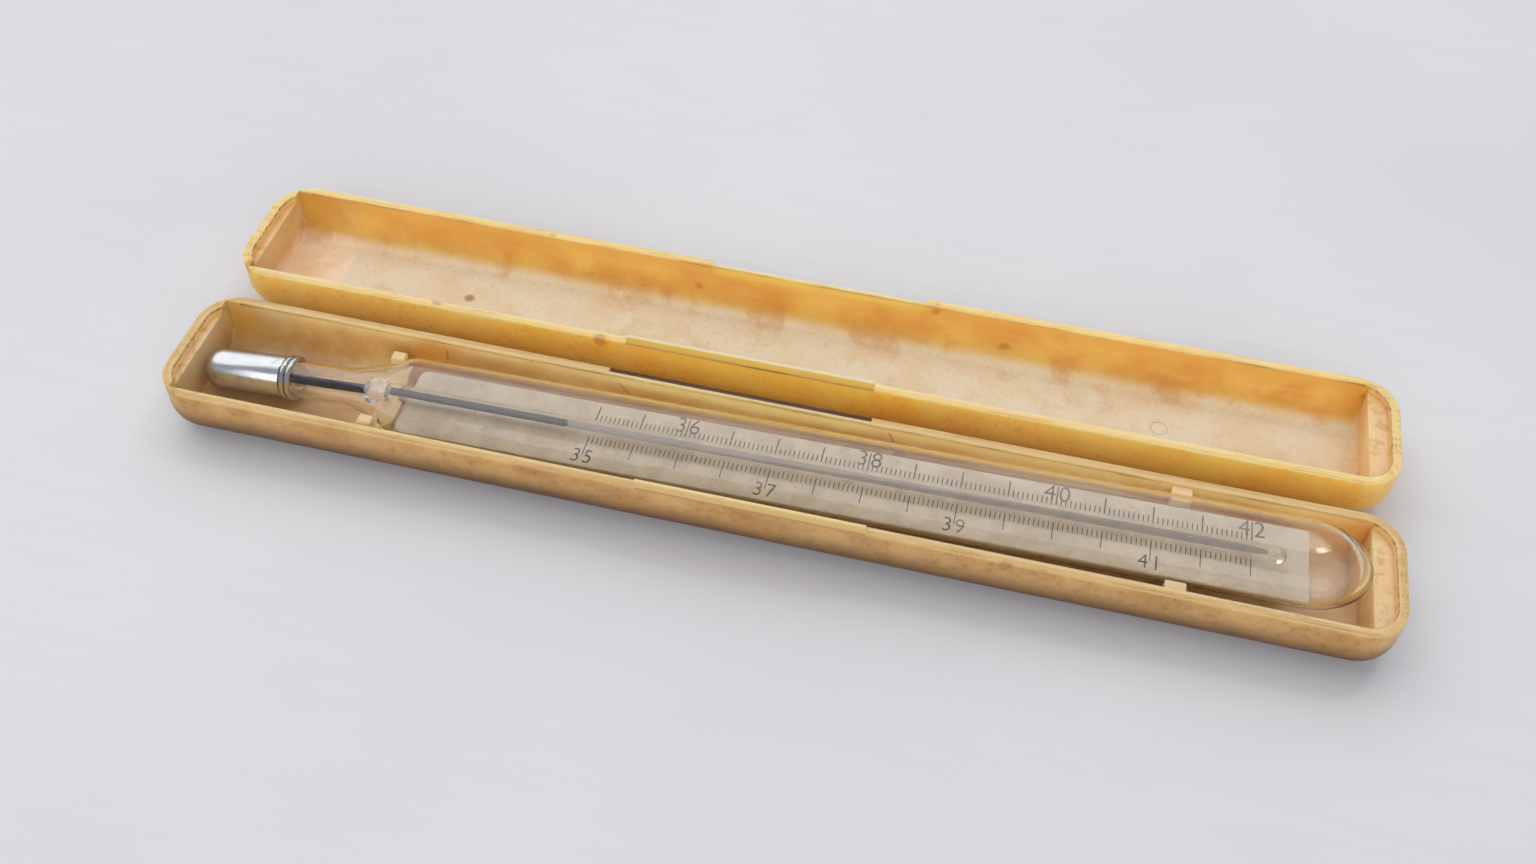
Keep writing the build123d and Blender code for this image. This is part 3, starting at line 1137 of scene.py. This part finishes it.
def publish(name: str, mesh: bmesh.types.BMesh, body: str, finishes: tuple[Material, ...],
            sharp: float) -> bpy.types.Object:
    """Makes an object of a shaped mesh, smooths it and puts it on its body.

    Args:
        name: name of the piece.
        mesh: the shaped mesh, in metres in the frame.
        body: CAD body that the piece rides on.
        finishes: its materials.
        sharp: angle in degrees above which an edge stays sharp.

    Returns:
        The piece.
    """
    for face in mesh.faces:
        face.smooth = True
    for edge in mesh.edges:
        if len(edge.link_faces) == 2:
            edge.smooth = edge.calc_face_angle(0.0) < math.radians(sharp)
    data = bpy.data.meshes.new(name)
    mesh.to_mesh(data)
    mesh.free()
    piece = bpy.data.objects.new(name, data)
    bpy.context.scene.collection.objects.link(piece)
    for finish in finishes:
        data.materials.append(finish)
    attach(piece, body)
    return piece


def packed_copy(node: bpy.types.Object) -> bmesh.types.BMesh:
    """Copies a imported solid's mesh and joins its loose triangles into whole faces.

    Args:
        node: the solid's node in the frame.

    Returns:
        The copy, in metres.
    """
    mesh = bmesh.new()
    mesh.from_mesh(node.data)
    bmesh.ops.remove_doubles(mesh, verts=mesh.verts, dist=PACKED_MERGE)
    bmesh.ops.dissolve_limit(mesh, angle_limit=math.radians(1.0), use_dissolve_boundaries=False,
                             verts=mesh.verts, edges=mesh.edges)
    return mesh


def take_shape(holder: bpy.types.Object, blank: Blank) -> list[bmesh.types.BMVert]:
    """Adds an object's finished mesh to a blank.

    Args:
        holder: text, or a mesh with its modifiers.
        blank: what gets the mesh.

    Returns:
        The points that were added.
    """
    bpy.context.view_layer.update()
    finished = holder.evaluated_get(bpy.context.evaluated_depsgraph_get())
    flat = bpy.data.meshes.new_from_object(finished)
    start = len(blank.mesh.verts)
    blank.mesh.from_mesh(flat)
    blank.mesh.verts.ensure_lookup_table()
    bpy.data.meshes.remove(flat)
    return blank.mesh.verts[start:]


def round_edges(piece: bpy.types.Object, width_mm: float, segments: int, method: str) -> None:
    """Rounds a piece's edges with a live bevel.

    Args:
        piece: the piece.
        width_mm: width of the rounding.
        segments: faces across it.
        method: how the edges are chosen, WEIGHT or ANGLE.
    """
    rounding = piece.modifiers.new("rounded_edges", "BEVEL")
    rounding.width = width_mm * MM
    rounding.segments = segments
    rounding.limit_method = method
    rounding.harden_normals = True


@dataclass
class CaseHalf:
    """One moulded half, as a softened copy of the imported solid."""

    node: str
    name: str
    body: str
    slot: str
    half: Half
    rim_round_mm: float = 0.28
    edge_share: float = 0.43
    turn: float = 35.0
    sharp: float = 32.0
    slack: float = 0.03
    sizes: CaseSizes = CaseSizes()

    def build(self, nodes: dict[str, bpy.types.Object], finish: Material) -> bpy.types.Object:
        """Copies the solid, weighs its outer edges and rounds them.

        Args:
            nodes: the frame's CAD nodes.
            finish: the plastic.

        Returns:
            The piece that stands for the node.
        """
        mesh = packed_copy(nodes[self.node])
        weight = mesh.edges.layers.float.new("bevel_weight_edge")
        for edge in mesh.edges:
            if edge.calc_face_angle_signed(0.0) > math.radians(self.turn):
                edge[weight] = 1.0 if self.goes_round(edge) else self.edge_share
        piece = publish(self.name, mesh, self.body, (finish,), self.sharp)
        round_edges(piece, self.rim_round_mm, 3, "WEIGHT")
        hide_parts(self.node)
        return piece

    def goes_round(self, edge: bmesh.types.BMEdge) -> bool:
        """Tells whether an edge is part of one of the rim's two outlines.

        Args:
            edge: an edge of the copied solid.

        Returns:
            True where both its ends lie on one of them.
        """
        sizes = self.sizes
        for vert in edge.verts:
            across = abs(vert.co.y / MM - self.half.value) - (sizes.half_width - sizes.corner)
            along = abs(vert.co.x / MM) - (sizes.half_length - sizes.corner)
            in_corner = across > 0 and along > 0
            away = math.hypot(across, along) if in_corner else max(across, along)
            off_rim = abs(vert.co.z / MM - sizes.rim)
            off_outline = min(abs(away - sizes.corner), abs(away - sizes.corner + sizes.wall))
            if off_rim >= self.slack or off_outline > self.slack:
                return False
        return True


@dataclass
class GlassJacket:
    """Outer glass of the thermometer: neck, flare, oval body and round end."""

    flare_rings: int = 20
    shoulder_rings: int = 8
    dome_rings: int = 18
    steps: int = 112
    tip_share: float = 2.2

    def rings(self, inset: float) -> list[tuple[float, float, float]]:
        """Places the rings of one skin of the jacket.

        Args:
            inset: how far the skin is drawn in from the outside.

        Returns:
            Place along the axis, half-width and half-height of each ring.
        """
        s = SIZES
        rows = [(s.neck_start, s.neck - inset, s.neck - inset)]
        for step in range(self.flare_rings + 1):
            share = step / self.flare_rings
            swell = 1 - math.cos(share * math.pi / 2) if step < self.flare_rings else 1.0
            rows.append((s.neck_end + (s.waist - s.neck_end) * share,
                         s.neck + (s.waist_half[0] - s.neck) * swell - inset,
                         s.neck + (s.waist_half[1] - s.neck) * swell - inset))
        for step in range(1, self.shoulder_rings + 1):
            share = step / self.shoulder_rings
            swell = math.sin(share * math.pi / 2)
            rows.append((s.waist + (s.shoulder_end - s.waist) * share,
                         s.waist_half[0] + (s.body[0] - s.waist_half[0]) * swell - inset,
                         s.waist_half[1] + (s.body[1] - s.waist_half[1]) * swell - inset))
        reach = s.dome_end - s.dome_start - self.tip_share * inset
        for step in range(self.dome_rings):
            turn = step / self.dome_rings * math.pi / 2
            rows.append((s.dome_start + reach * math.sin(turn),
                         (s.body[0] - inset) * math.cos(turn), (s.body[1] - inset) * math.cos(turn)))
        return rows

    def build(self, finish: Material) -> bpy.types.Object:
        """Sweeps both skins and joins them at the neck.

        Args:
            finish: the clear glass.

        Returns:
            The piece that stands for the envelope.
        """
        blank = Blank("jacket_glass")
        outer = blank.sweep(self.rings(0.0), self.steps, tip=SIZES.dome_end)
        inner = blank.sweep(self.rings(SIZES.wall), self.steps,
                            tip=SIZES.dome_end - self.tip_share * SIZES.wall)
        bmesh.ops.bridge_loops(blank.mesh, edges=outer + inner)
        blank.bend_down()
        piece = blank.finish("thermometer", "clear_glass", finish)
        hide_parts("glass_envelope")
        return piece


@dataclass
class BulbEnd:
    """Bulb, collar, stem, bead and the mercury that they hold.

    A lobe is its place past the bead's foot, its turn in radians, its reach and its radius.
    """

    steps: int = 72
    stem_steps: int = 48
    drill_steps: int = 32
    store_steps: int = 64
    lobe_steps: tuple[int, int] = (24, 16)
    bulb_radius: float = 2.4
    bulb_wall: float = 0.14
    mercury_gap: float = 0.02
    ring_radius: float = 2.6
    ring_swell: float = 0.32
    ring_steps: int = 12
    nose_steps: int = 16
    shoulder: tuple[tuple[float, float], ...] = ((0.12, 0.0), (0.03, 0.05), (0.0, 0.14))
    stem_radius: float = 0.8
    stem_bore: float = 0.4
    stem_break: float = 0.1
    store_channel: float = 0.37
    store_break: tuple[float, float] = (0.05, 0.06)
    lining_slack: float = 0.02
    bead_radius: float = 1.25
    bead_end_radius: float = 0.72
    bead_steps: int = 16
    bead_swell: float = 0.6
    overrun: float = 1.0
    melt_grid: float = 0.055
    melt_rounds: int = 8
    melt_softness: float = 0.5
    joint_gap: float = 0.06
    pin_radius: float = 0.16
    lobes: tuple[tuple[float, float, float, float], ...] = (
        (0.4, 0.5, 0.9, 0.62), (1.1, 0.2, 1.05, 0.66), (1.9, 0.8, 0.95, 0.62), (0.7, 1.4, 0.95, 0.6),
        (1.5, 1.8, 1.0, 0.62), (1.0, -1.0, 0.95, 0.66), (0.4, -0.6, 0.8, 0.6), (0.6, -1.7, 1.05, 0.62),
    )

    def capsule(self, tip: float, end: float, radius: float) -> list[tuple[float, float]]:
        """Outlines a shape with a round tip and a softened shoulder, from the axis out.

        Args:
            tip, end: its ends along the axis.
            radius: its radius.

        Returns:
            Place along the axis and radius of each point.
        """
        rows = []
        for step in range(self.nose_steps + 1):
            turn = step / self.nose_steps * math.pi / 2
            rows.append((tip + radius - radius * math.cos(turn), radius * math.sin(turn)))
        return rows + [(end - back, radius - less) for back, less in self.shoulder]

    def bulb(self, finish: Material, lining: Material) -> bpy.types.Object:
        """Makes the thin glass bulb, open only at the bore.

        Args:
            finish: glass of the outside.
            lining: glass of the inside, which the mercury wets.

        Returns:
            The piece that stands for the bulb.
        """
        outer = self.capsule(SIZES.bulb_tip, SIZES.bulb_end, self.bulb_radius)
        inner = self.capsule(SIZES.bulb_tip + self.bulb_wall, SIZES.bulb_end - self.bulb_wall,
                             self.bulb_radius - self.bulb_wall)
        bore = [(SIZES.bulb_end, self.stem_bore), (SIZES.bulb_end - self.bulb_wall, self.stem_bore)]
        blank = Blank("bulb_skin").turn(outer + bore + inner[::-1], False, self.steps)
        for face in blank.mesh.faces:
            centre = face.calc_center_median()
            nose = SIZES.bulb_tip + self.bulb_radius
            reach = math.hypot(centre.y, centre.z, min(centre.x - nose, 0.0))
            behind = centre.x < SIZES.bulb_end - self.lining_slack
            if behind and reach < self.bulb_radius - self.bulb_wall / 2:
                face.material_index = 1
        piece = blank.bend_down(True).finish("thermometer", "bulb_glass", finish, lining)
        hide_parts("glass_bulb")
        return piece

    def collar(self, finish: Material) -> bpy.types.Object:
        """Makes the fused collar of two round rings.

        Args:
            finish: its glass.

        Returns:
            The piece that stands for the collar.
        """
        start, stop = SIZES.bulb_end, SIZES.neck_start
        rows = [(start, self.stem_bore)]
        half = (stop - start) / 4
        for centre in (start + half, stop - half):
            for step in range(self.ring_steps + 1):
                turn = math.pi - step / self.ring_steps * math.pi
                rows.append((centre + half * math.cos(turn),
                             self.ring_radius - self.ring_swell + self.ring_swell * math.sin(turn)))
        rows.append((stop, self.stem_bore))
        blank = Blank("collar_rings").turn(rows, True, self.steps)
        piece = blank.bend_down(True).finish("thermometer", "bulb_glass", finish)
        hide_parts("bulb_collar")
        return piece

    def stem(self, finish: Material, lining: Material) -> bpy.types.Object:
        """Makes the thick-walled stem in the neck.

        Args:
            finish: glass of the outside.
            lining: finish of the bore.

        Returns:
            The piece that stands for the stem.
        """
        start, stop = SIZES.neck_start, SIZES.bead_start - self.joint_gap
        rows = [(start, self.stem_bore), (start, self.stem_radius),
                (stop - self.stem_break, self.stem_radius),
                (stop, self.stem_radius - self.stem_break), (stop, self.stem_bore)]
        blank = Blank("stem_glass").turn(rows, True, self.stem_steps)
        blank.line_inside(self.stem_bore + self.lining_slack).bend_down(True)
        piece = blank.finish("thermometer", "capillary_glass", finish, lining)
        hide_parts("neck_stem")
        return piece

    def bead(self, finish: Material) -> bpy.types.Object:
        """Makes the fused bead with its lobes, drawn up in the middle as a blown joint is.

        Args:
            finish: its glass.

        Returns:
            The piece that stands for the bead.
        """
        start, stop = SIZES.bead_start, SIZES.bead_end
        low, high = self.bead_end_radius, self.bead_radius
        rows = [(start, 0.0)]
        for step in range(self.bead_steps + 1):
            share = step / self.bead_steps
            swell = math.sin(share * math.pi) ** self.bead_swell
            rows.append((start + (stop - start) * share, low + (high - low) * swell))
        rows.append((stop, 0.0))
        lump = Blank("lump").turn(rows, False, self.stem_steps)
        for x, turn, reach, radius in self.lobes:
            centre = Vector((start + x, reach * math.sin(turn), reach * math.cos(turn)))
            bmesh.ops.create_uvsphere(lump.mesh, u_segments=self.lobe_steps[0],
                                      v_segments=self.lobe_steps[1], radius=radius,
                                      matrix=Matrix.Translation(centre))
        bore = self.pin_radius + self.mercury_gap
        below, above = start - self.overrun, stop + self.overrun
        hole = [(below, 0.0), (below, bore), (above, bore), (above, 0.0)]
        drill = Blank("drill").turn(hole, False, self.drill_steps)
        piece = self.melt(lump, drill, "fused_bead").finish("thermometer", "capillary_glass", finish)
        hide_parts("constriction_bead")
        return piece

    def melt(self, lump: Blank, drill: Blank, name: str) -> Blank:
        """Melts a lump's overlapping parts into one skin and drills it.

        Args:
            lump: closed shapes that overlap.
            drill: closed shape to take away.
            name: name of the melted blank.

        Returns:
            The melted and drilled blank.
        """
        body, tool = (self.shape_of(blank) for blank in (lump, drill))
        skin = body.modifiers.new("one_skin", "REMESH")
        skin.mode = "VOXEL"
        skin.voxel_size = self.melt_grid
        soft = body.modifiers.new("drawn_soft", "SMOOTH")
        soft.factor = self.melt_softness
        soft.iterations = self.melt_rounds
        bore = body.modifiers.new("bore", "BOOLEAN")
        bore.operation = "DIFFERENCE"
        bore.solver = "EXACT"
        bore.object = tool
        melted = Blank(name)
        take_shape(body, melted)
        for shape in (body, tool):
            data = shape.data
            bpy.data.objects.remove(shape)
            bpy.data.meshes.remove(data)
        return melted

    @staticmethod
    def shape_of(blank: Blank) -> bpy.types.Object:
        """Puts a blank, still in millimetres, into an object for modifiers to work on.

        Args:
            blank: closed shapes, used up here.

        Returns:
            The object.
        """
        blank.close_up()
        data = bpy.data.meshes.new(blank.name)
        blank.mesh.to_mesh(data)
        blank.mesh.free()
        shape = bpy.data.objects.new(blank.name, data)
        bpy.context.scene.collection.objects.link(shape)
        return shape

    @staticmethod
    def pin(nodes: dict[str, bpy.types.Object], finish: Material) -> bpy.types.Object:
        """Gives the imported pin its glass.

        Args:
            nodes: the frame's CAD nodes.
            finish: the glass.

        Returns:
            The pin's node.
        """
        pin = nodes["constriction_pin"]
        pin.data.materials.clear()
        pin.data.materials.append(finish)
        return pin

    def store(self, finish: Material, column: Material) -> bpy.types.Object:
        """Fills the bulb and the stem with mercury.

        Args:
            finish: mercury in the bulb.
            column: mercury in the stem's channel.

        Returns:
            The piece that stands for the mercury below the constriction.
        """
        gap = self.bulb_wall + self.mercury_gap
        rows = self.capsule(SIZES.bulb_tip + gap, SIZES.bulb_end - gap, self.bulb_radius - gap)
        stop = SIZES.bead_start - self.joint_gap
        back, less = self.store_break
        rows += [(rows[-1][0], self.store_channel), (stop - back, self.store_channel),
                 (stop, self.store_channel - less), (stop, 0.0)]
        blank = Blank("mercury_in_bulb").turn(rows, False, self.store_steps)
        blank.line_inside(self.store_channel + self.lining_slack)
        for face in blank.mesh.faces:
            if face.calc_center_median().x < SIZES.bulb_end - gap:
                face.material_index = 0
        piece = blank.bend_down(True).finish("thermometer", "mercury", finish, column)
        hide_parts("mercury_store")
        return piece


@dataclass
class ScalePart:
    """Plate with its printing, and the capillary tube with its thread."""

    plate_top: float = -0.43
    ink_height: float = 0.012
    first_degree: int = 35
    last_degree: int = 42
    first_place: float = -19.5
    last_place: float = 52.2
    small_steps: int = 20
    far_line: float = 1.75
    near_line: float = -0.5
    small_line: tuple[float, float] = (0.95, 1.05)
    half_line: float = 2.3
    degree_line: float = 2.7
    line_width: tuple[float, float] = (0.09, 0.12)
    long_line_share: float = 1.2
    number_height: tuple[float, float] = (1.9, 2.2)
    number_line: float = 3.42
    number_lift: float = 0.0015
    letter_share: float = 1.4
    letter_gap: float = 1.18
    letter_thinning: float = -0.016
    letter_width_share: float = 0.86
    letter_steps: int = 6
    plate_round_mm: float = 0.05
    plate_sharp: float = 32.0
    capillary_lift: float = 0.35
    capillary_half: tuple[float, float] = (1.05, 0.75)
    capillary_end: float = 55.6
    bore: tuple[float, float] = (0.4, 0.28)
    bore_taper: float = 2.5
    bore_end_share: float = 0.6
    bore_end: float = 53.6
    bore_tip: float = 0.12
    tip_steps: int = 9
    tube_steps: int = 48
    thread_steps: int = 32
    lining_slack: float = 0.02
    mark_slack: float = 0.1
    thread_half: tuple[float, float] = (0.36, 0.25)
    thread_places: tuple[float, float] = (-42.9, -22.0)
    thread_start: float = 0.1
    meniscus_shares: tuple[tuple[float, float], ...] = ((1.0, 1.0), (0.4, 0.8), (0.1, 0.45))

    def place_of(self, degree: float) -> float:
        """Place along the axis of a temperature."""
        share = (degree - self.first_degree) / (self.last_degree - self.first_degree)
        return self.first_place + share * (self.last_place - self.first_place)

    def plate(self, nodes: dict[str, bpy.types.Object], finish: Material) -> bpy.types.Object:
        """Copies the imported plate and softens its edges.

        Args:
            nodes: the frame's CAD nodes.
            finish: the opal glass.

        Returns:
            The piece that stands for the plate.
        """
        mesh = packed_copy(nodes["scale_plate"])
        piece = publish("opal_scale_plate", mesh, "thermometer", (finish,),
                        self.plate_sharp)
        round_edges(piece, self.plate_round_mm, 2, "ANGLE")
        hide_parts("scale_plate")
        return piece

    def line(self, blank: Blank, x: float, near: float, far: float, width: float) -> None:
        """Prints one line across the plate.

        Args:
            blank: what gets the line.
            x: its place along the plate.
            near, far: its ends across the plate.
            width: its width.
        """
        made = bmesh.ops.create_cube(blank.mesh, size=1.0)["verts"]
        bmesh.ops.scale(blank.mesh, vec=(width, far - near, self.ink_height), verts=made)
        level = self.plate_top + self.ink_height / 2
        bmesh.ops.translate(blank.mesh, vec=(x, (near + far) / 2, level), verts=made)

    def lines(self, finish: Material) -> bpy.types.Object:
        """Prints all lines of the scale, above and below the capillary.

        Args:
            finish: the ink.

        Returns:
            The piece with the lines.
        """
        blank = Blank("scale_lines")
        whole = (self.last_degree - self.first_degree) * self.small_steps
        for step in range(whole + 1):
            degree = self.first_degree + step / self.small_steps
            x = self.place_of(degree)
            half = step % (self.small_steps // 2) == 0
            even_side = 1 if int(degree) % 2 == 0 else -1
            for side in (-1, 1):
                length = self.half_line if half else self.small_line[side > 0]
                if step % self.small_steps == 0 and side == even_side:
                    length = self.degree_line
                start = self.far_line if side > 0 else self.near_line
                near, far = sorted((start, start + side * length))
                strength = self.long_line_share if half else 1.0
                self.line(blank, x, near, far, self.line_width[side > 0] * strength)
        return blank.finish("thermometer", "milk_glass", finish, flip=False)

    def numbers(self, finish: Material) -> bpy.types.Object:
        """Prints the numbers of the scale, even ones on the far side.

        Args:
            finish: the ink.

        Returns:
            The piece with the numbers.
        """
        blank = Blank("scale_numbers")
        for degree in range(self.first_degree, self.last_degree + 1):
            curve = bpy.data.curves.new("number", "FONT")
            curve.body = str(degree)
            curve.align_x = "CENTER"
            curve.align_y = "CENTER"
            curve.size = self.number_height[degree % 2 == 0] * self.letter_share
            curve.space_character = self.letter_gap
            curve.offset = self.letter_thinning
            curve.extrude = self.ink_height / 2
            curve.resolution_u = self.letter_steps
            holder = bpy.data.objects.new("number", curve)
            bpy.context.scene.collection.objects.link(holder)
            fresh = take_shape(holder, blank)
            side = 1 if degree % 2 == 0 else -1
            level = self.plate_top + self.ink_height / 2 + self.number_lift
            bmesh.ops.scale(blank.mesh, vec=(self.letter_width_share, 1.0, 1.0), verts=fresh)
            bmesh.ops.translate(blank.mesh, vec=(self.place_of(degree), side * self.number_line, level),
                                verts=fresh)
            bpy.data.objects.remove(holder)
        return blank.finish("thermometer", "milk_glass", finish, flip=False)

    def capillary(self, finish: Material, lining: Material,
                  contact: Material, tip: Material) -> bpy.types.Object:
        """Oval tube with its bore, rounded at the upper end.

        Args:
            finish: glass of the tube.
            lining: finish of its bore.
            contact: finish of its underside, where it rests on the plate.
            tip: glass of its rounded upper end.

        Returns:
            The piece.
        """
        wide, high = self.capillary_half
        straight = self.capillary_end - wide
        rings = [(SIZES.bead_end, wide, high)]
        for step in range(self.tip_steps):
            turn = step / self.tip_steps * math.pi / 2
            rings.append((straight + wide * math.sin(turn), wide * math.cos(turn), high * math.cos(turn)))
        blank = Blank("capillary_glass_tube")
        outer = blank.sweep(rings, self.tube_steps, self.capillary_lift, self.capillary_end)
        narrow = [half * self.bore_end_share for half in self.bore]
        hole = [(SIZES.bead_end, *self.bore), (self.bore_end - self.bore_taper, *self.bore),
                (self.bore_end, *narrow)]
        inner = blank.sweep(hole, self.tube_steps, self.capillary_lift, self.bore_end + self.bore_tip)
        bmesh.ops.bridge_loops(blank.mesh, edges=outer + inner)
        blank.line_inside(self.bore[0] + self.lining_slack, self.capillary_lift)
        for face in blank.mesh.faces:
            centre = face.calc_center_median()
            if centre.x > straight + self.mark_slack:
                face.material_index = 3
            elif face.material_index == 0 and centre.z < self.capillary_lift - self.mark_slack:
                face.material_index = 2
        piece = blank.finish("thermometer", "capillary_glass", finish, lining, contact, tip)
        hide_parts("capillary_tube")
        return piece

    def thread(self, finish: Material) -> bpy.types.Object:
        """Makes the mercury above the constriction, with a round top and a pointed foot.

        Args:
            finish: the mercury.

        Returns:
            The piece that stands for the thread.
        """
        start, stop = self.thread_places
        wide, high = self.thread_half
        rings = [(start + self.thread_start, wide, high)]
        rings += [(stop - wide * back, wide * size, high * size) for back, size in self.meniscus_shares]
        blank = Blank("mercury_column")
        blank.sweep(rings, self.thread_steps, self.capillary_lift, stop)
        open_edges = [edge for edge in blank.mesh.edges if edge.is_boundary]
        grown = bmesh.ops.extrude_edge_only(blank.mesh, edges=open_edges)["geom"]
        around = [part for part in grown if isinstance(part, bmesh.types.BMVert)]
        bmesh.ops.pointmerge(blank.mesh, verts=around, merge_co=(start, 0, self.capillary_lift))
        piece = blank.finish("thread", "mercury", finish)
        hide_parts("mercury_thread")
        return piece


@dataclass(frozen=True)
class SoftLamp:
    """A soft rectangular lamp, with its place, aim and size in metres."""

    name: str
    place: Place
    size: tuple[float, float]
    power: float
    colour: Place = (1.0, 1.0, 1.0)
    shows: bool = True
    aim: Place = (0.0, 0.0, 0.0)

    def hang(self) -> bpy.types.Object:
        """Makes the lamp, which may show in reflections, and aims it.

        Returns:
            The lamp.
        """
        data = bpy.data.lights.new(self.name, "AREA")
        data.shape = "RECTANGLE"
        data.size, data.size_y = self.size
        data.energy = self.power
        data.color = self.colour
        lamp = bpy.data.objects.new(self.name, data)
        bpy.context.scene.collection.objects.link(lamp)
        lamp.visible_glossy = self.shows
        lamp.location = self.place
        away = Vector(self.place) - Vector(self.aim)
        lamp.rotation_euler = away.to_track_quat("Z", "Y").to_euler()
        return lamp


@dataclass
class Studio:
    """Table, soft light and the camera of the photograph."""

    azimuth: float = 11.30
    elevation: float = 49.00
    roll: float = 2.47
    lens: float = 36.33
    sensor: float = 36.0
    place_mm: Place = (21.6, -116.1, 135.0)
    sight: tuple[float, float] = (0.005, 20.0)
    table_side: float = 6.0
    table_level: float = -0.00005
    lamps: tuple[SoftLamp, ...] = (
        SoftLamp("window", (-0.45, 0.6, 0.95), (2.4, 1.5), 12.0, (1.0, 0.99, 0.97)),
        SoftLamp("pane", (0.4, 0.5, 1.0), (0.14, 0.2), 0.65),
        SoftLamp("fill", (0.2, -1.0, 0.7), (1.6, 0.9), 7.6, (0.98, 0.98, 1.0), shows=False),
    )
    room_colour: Tone = (0.93, 0.95, 1.0, 1.0)
    room_light: float = 0.42

    def axes(self) -> tuple[Vector, Vector, Vector]:
        """Works out how the camera is turned.

        Returns:
            Its right, its up and its back.
        """
        turn, rise, roll = (math.radians(angle) for angle in (self.azimuth, self.elevation, self.roll))
        back = Vector((math.sin(turn) * math.cos(rise), -math.cos(turn) * math.cos(rise), math.sin(rise)))
        right = Vector((math.cos(turn), math.sin(turn), 0.0))
        up = back.cross(right)
        return (math.cos(roll) * right + math.sin(roll) * up,
                math.cos(roll) * up - math.sin(roll) * right, back)

    def camera(self) -> bpy.types.Object:
        """Puts a camera at the photograph's place and makes it the scene's own.

        Returns:
            The camera.
        """
        data = bpy.data.cameras.new("photo_camera")
        data.lens = self.lens
        data.sensor_width = self.sensor
        data.clip_start, data.clip_end = self.sight
        holder = bpy.data.objects.new("photo_camera", data)
        bpy.context.scene.collection.objects.link(holder)
        turn = Matrix(self.axes()).transposed().to_4x4()
        holder.matrix_world = Matrix.Translation(Vector(self.place_mm) * MM) @ turn
        bpy.context.scene.camera = holder
        return holder

    def table(self, finish: Material) -> bpy.types.Object:
        """Makes the wide flat table top.

        Args:
            finish: its paint.

        Returns:
            The table top.
        """
        mesh = bmesh.new()
        bmesh.ops.create_grid(mesh, x_segments=8, y_segments=8, size=self.table_side / 2)
        data = bpy.data.meshes.new("table_top")
        mesh.to_mesh(data)
        mesh.free()
        data.materials.append(finish)
        top = bpy.data.objects.new("table_top", data)
        top.location.z = self.table_level
        bpy.context.scene.collection.objects.link(top)
        return top

    def room(self) -> None:
        """Pale room round the table."""
        world = bpy.data.worlds.new("pale_room")
        world.use_nodes = True
        back = world.node_tree.nodes["Background"]
        back.inputs["Color"].default_value = self.room_colour
        back.inputs["Strength"].default_value = self.room_light
        bpy.context.scene.world = world

    def build(self) -> None:
        """Sets up the whole studio."""
        self.camera()
        self.table(PaintedTable().make())
        for lamp in self.lamps:
            lamp.hang()
        self.room()


def main() -> None:
    """Builds every piece in order and reports it."""
    logging.basicConfig(level=logging.INFO, format="%(name)s %(message)s")
    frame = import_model()
    nodes = frame["nodes"]
    bpy.context.scene.view_settings.view_transform = "Standard"

    jacket_glass = ClearGlass("jacket_clear_glass", ior=1.44).make()
    tube_glass = ClearGlass("capillary_clear_glass", ior=1.4, dust=0.1).make()
    bulb_glass = ClearGlass("bulb_clear_glass", dust=0.15).make()
    tip_glass = ClearGlass("fused_tip_glass", haze=0.2).make()
    # painted highlight: a whitish diffuse share on the bead stands in for its bright highlights
    bead_glass = ClearGlass("fused_bead_glass", tint=(1.0, 1.0, 1.0, 1.0), ior=1.46, haze=0.02,
                            clear=0.94).make()
    wetted = WettedSkin("wetted_glass").make()
    # painted shade: a grey band standing in for how the empty bore looks through the glass
    empty_bore = WettedSkin("empty_bore", painted_bore_shade=0.34).make()
    mercury = Quicksilver("bright_mercury").make()
    # painted shade: a near-black copy of the mercury for the thread and the stem's channel, for their
    # dark look inside the glass
    shaded_dark_mercury = Quicksilver("shaded_dark_mercury_in_bore", tone(36, 36, 39), tone(26, 26, 28), rough=0.36).make()
    # painted shade: a dimmer, warmer copy of the mercury for the collar rings
    behind_rings = Quicksilver("mercury_behind_rings", tone(190, 190, 190), tone(140, 136, 128),
                               rough=0.16).make()
    ink = WornInk().make()
    number_ink = WornInk("worn_number_ink", tone(74, 66, 56), tone(140, 124, 106)).make()

    tray = CaseHalf("case_tray", "moulded_tray", "tray", "tray_plastic", Half.TRAY)
    lid = CaseHalf("case_lid", "moulded_lid", "lid", "lid_plastic", Half.LID)
    bulb_end = BulbEnd()
    scale = ScalePart()
    pieces = [
        tray.build(nodes, AgedPlastic(Half.TRAY).make()),
        lid.build(nodes, lid_plastic().make()),
        GlassJacket().build(jacket_glass),
        bulb_end.bulb(bulb_glass, wetted),
        bulb_end.collar(behind_rings),
        bulb_end.stem(tube_glass, wetted),
        bulb_end.bead(bead_glass),
        bulb_end.pin(nodes, tube_glass),
        bulb_end.store(mercury, shaded_dark_mercury),
        scale.plate(nodes, OpalPlate().make()),
        scale.lines(ink),
        scale.numbers(number_ink),
        scale.capillary(tube_glass, empty_bore, wetted, tip_glass),
        scale.thread(shaded_dark_mercury),
    ]
    for piece in pieces:
        LOG.info("%s: %d faces", piece.name, len(piece.data.polygons))

    Studio().build()


if __name__ == "__main__":
    main()
